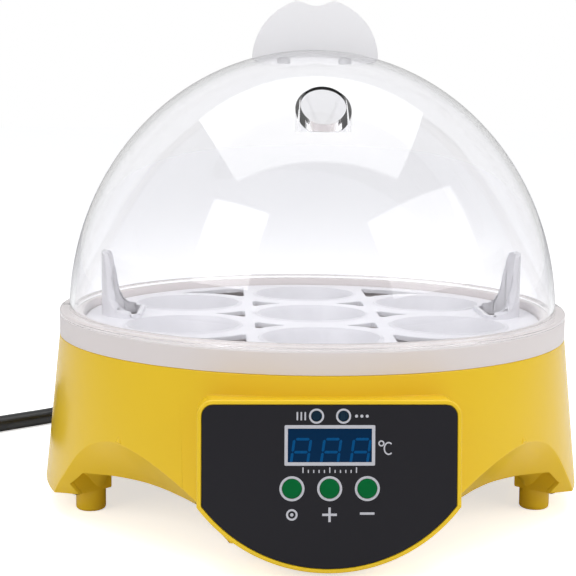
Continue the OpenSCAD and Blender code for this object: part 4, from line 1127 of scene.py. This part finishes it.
# finishes for the parts that are taken over as they are
carried = {
    "yellow": ["panel_back_cover"],
    "steel": ["cover_screws", "tub_screws", "fan_screws", "board_screws", "control_board_screws",
              "back_cover_screws"],
    "whiteScrew": ["handle_screws"],
    "black": ["fan_frame", "fan_rotor", "temp_sensor", "display_module", "tact_switches", "buzzer"],
    "rubber": ["wire_grommets"], "grey": ["fan_grille"], "heater": ["heater_ring"],
    "clipSteel": ["heater_clips"], "redWire": ["heater_leads", "fan_leads"],
    "blackWire": ["sensor_lead", "mains_lead"],
    "greyWire": ["board_ribbon"], "board": ["power_board", "control_board"], "tape": ["transformer"],
    "sleeve": ["smoothing_capacitor"], "relay": ["heater_relay"], "terminal": ["terminal_block"],
    "lens": ["indicator_leds"], "blade": ["plug_blades"],
}
for finish, names in carried.items():
    for name in names:
        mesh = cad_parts[name].data
        mesh.materials.clear()
        mesh.materials.append(finishes[finish])
print("carried parts finished")

studio = {
    "floor": (250, 250, 250), "lift": 0.62, "sky": 0.4, "skyTint": (250, 251, 255), "mirrored": 0.6,
    "aim": (0, 0, 100),
    "lamps": [("overhead", (0, 50, 1030), (1300, 950), 7.0),  # name, place, size and power
              ("frontLeft", (-680, -680, 600), (520, 600), 2.4),
              ("frontRight", (790, -530, 560), (950, 620), 3.1)],
}


def seenRays(nodes, links, *kinds):
    # 1 for rays of any of the named kinds that have not yet left a dull surface
    path = nodes.new("ShaderNodeLightPath")
    value = path.outputs[kinds[0]]
    for kind in kinds[1:]:
        either = nodes.new("ShaderNodeMath")
        either.operation = "MAXIMUM"
        links.new(value, either.inputs[0])
        links.new(path.outputs[kind], either.inputs[1])
        value = either.outputs["Value"]
    early, both = nodes.new("ShaderNodeMath"), nodes.new("ShaderNodeMath")
    early.operation, both.operation = "LESS_THAN", "MULTIPLY"
    early.inputs[1].default_value = 0.5
    links.new(path.outputs["Diffuse Depth"], early.inputs[0])
    links.new(value, both.inputs[0])
    links.new(early.outputs["Value"], both.inputs[1])
    return both.outputs["Value"]


def makeFloor():
    letGo()
    bpy.ops.mesh.primitive_plane_add(size=14, location=(0, 0, 0))
    floor = bpy.context.object
    floor.name = "floor"
    material = bpy.data.materials.new("paleFloor")
    material.use_nodes = True
    nodes, links = material.node_tree.nodes, material.node_tree.links
    shader = nodes["Principled BSDF"]
    shader.inputs["Base Color"].default_value = linear(studio["floor"])
    shader.inputs["Roughness"].default_value = 0.9
    shader.inputs["Specular IOR Level"].default_value = 0.1
    lift = nodes.new("ShaderNodeMath")
    lift.operation = "MULTIPLY"
    lift.inputs[1].default_value = studio["lift"]
    links.new(seenRays(nodes, links, "Is Camera Ray", "Is Transmission Ray"), lift.inputs[0])
    shader.inputs["Emission Color"].default_value = (1, 1, 1, 1)
    links.new(lift.outputs["Value"], shader.inputs["Emission Strength"])
    floor.data.materials.append(material)


def makeWorld():
    # plain light for the object, white where the background itself is seen
    world = bpy.data.worlds.new("studio")
    scene.world = world
    world.use_nodes = True
    nodes, links = world.node_tree.nodes, world.node_tree.links
    sky = nodes["Background"]
    last = sky.outputs["Background"]
    sky.inputs["Color"].default_value = linear(studio["skyTint"])
    sky.inputs["Strength"].default_value = studio["sky"]
    for strength, kinds in ((studio["mirrored"], ["Is Glossy Ray"]),
                            (1, ["Is Camera Ray", "Is Transmission Ray"])):
        shown = nodes.new("ShaderNodeBackground")
        shown.inputs["Color"].default_value = (1, 1, 1, 1)
        shown.inputs["Strength"].default_value = strength
        mix = nodes.new("ShaderNodeMixShader")
        links.new(seenRays(nodes, links, *kinds), mix.inputs["Fac"])
        links.new(last, mix.inputs[1])
        links.new(shown.outputs["Background"], mix.inputs[2])
        last = mix.outputs["Shader"]
    links.new(last, nodes["World Output"].inputs["Surface"])


def makeLamps():
    for name, place, size, power in studio["lamps"]:
        letGo()
        bpy.ops.object.light_add(type="AREA", location=at(*place))
        lamp = bpy.context.object
        lamp.name = name
        lamp.data.shape, lamp.data.energy = "RECTANGLE", power
        lamp.data.size, lamp.data.size_y = size[0] * mm, size[1] * mm
        lamp.rotation_mode = "QUATERNION"
        lamp.rotation_quaternion = (at(*studio["aim"]) - at(*place)).to_track_quat("-Z", "Y")


makeFloor()
makeWorld()
makeLamps()
scene.view_settings.view_transform = "Standard"
print("studio ready")
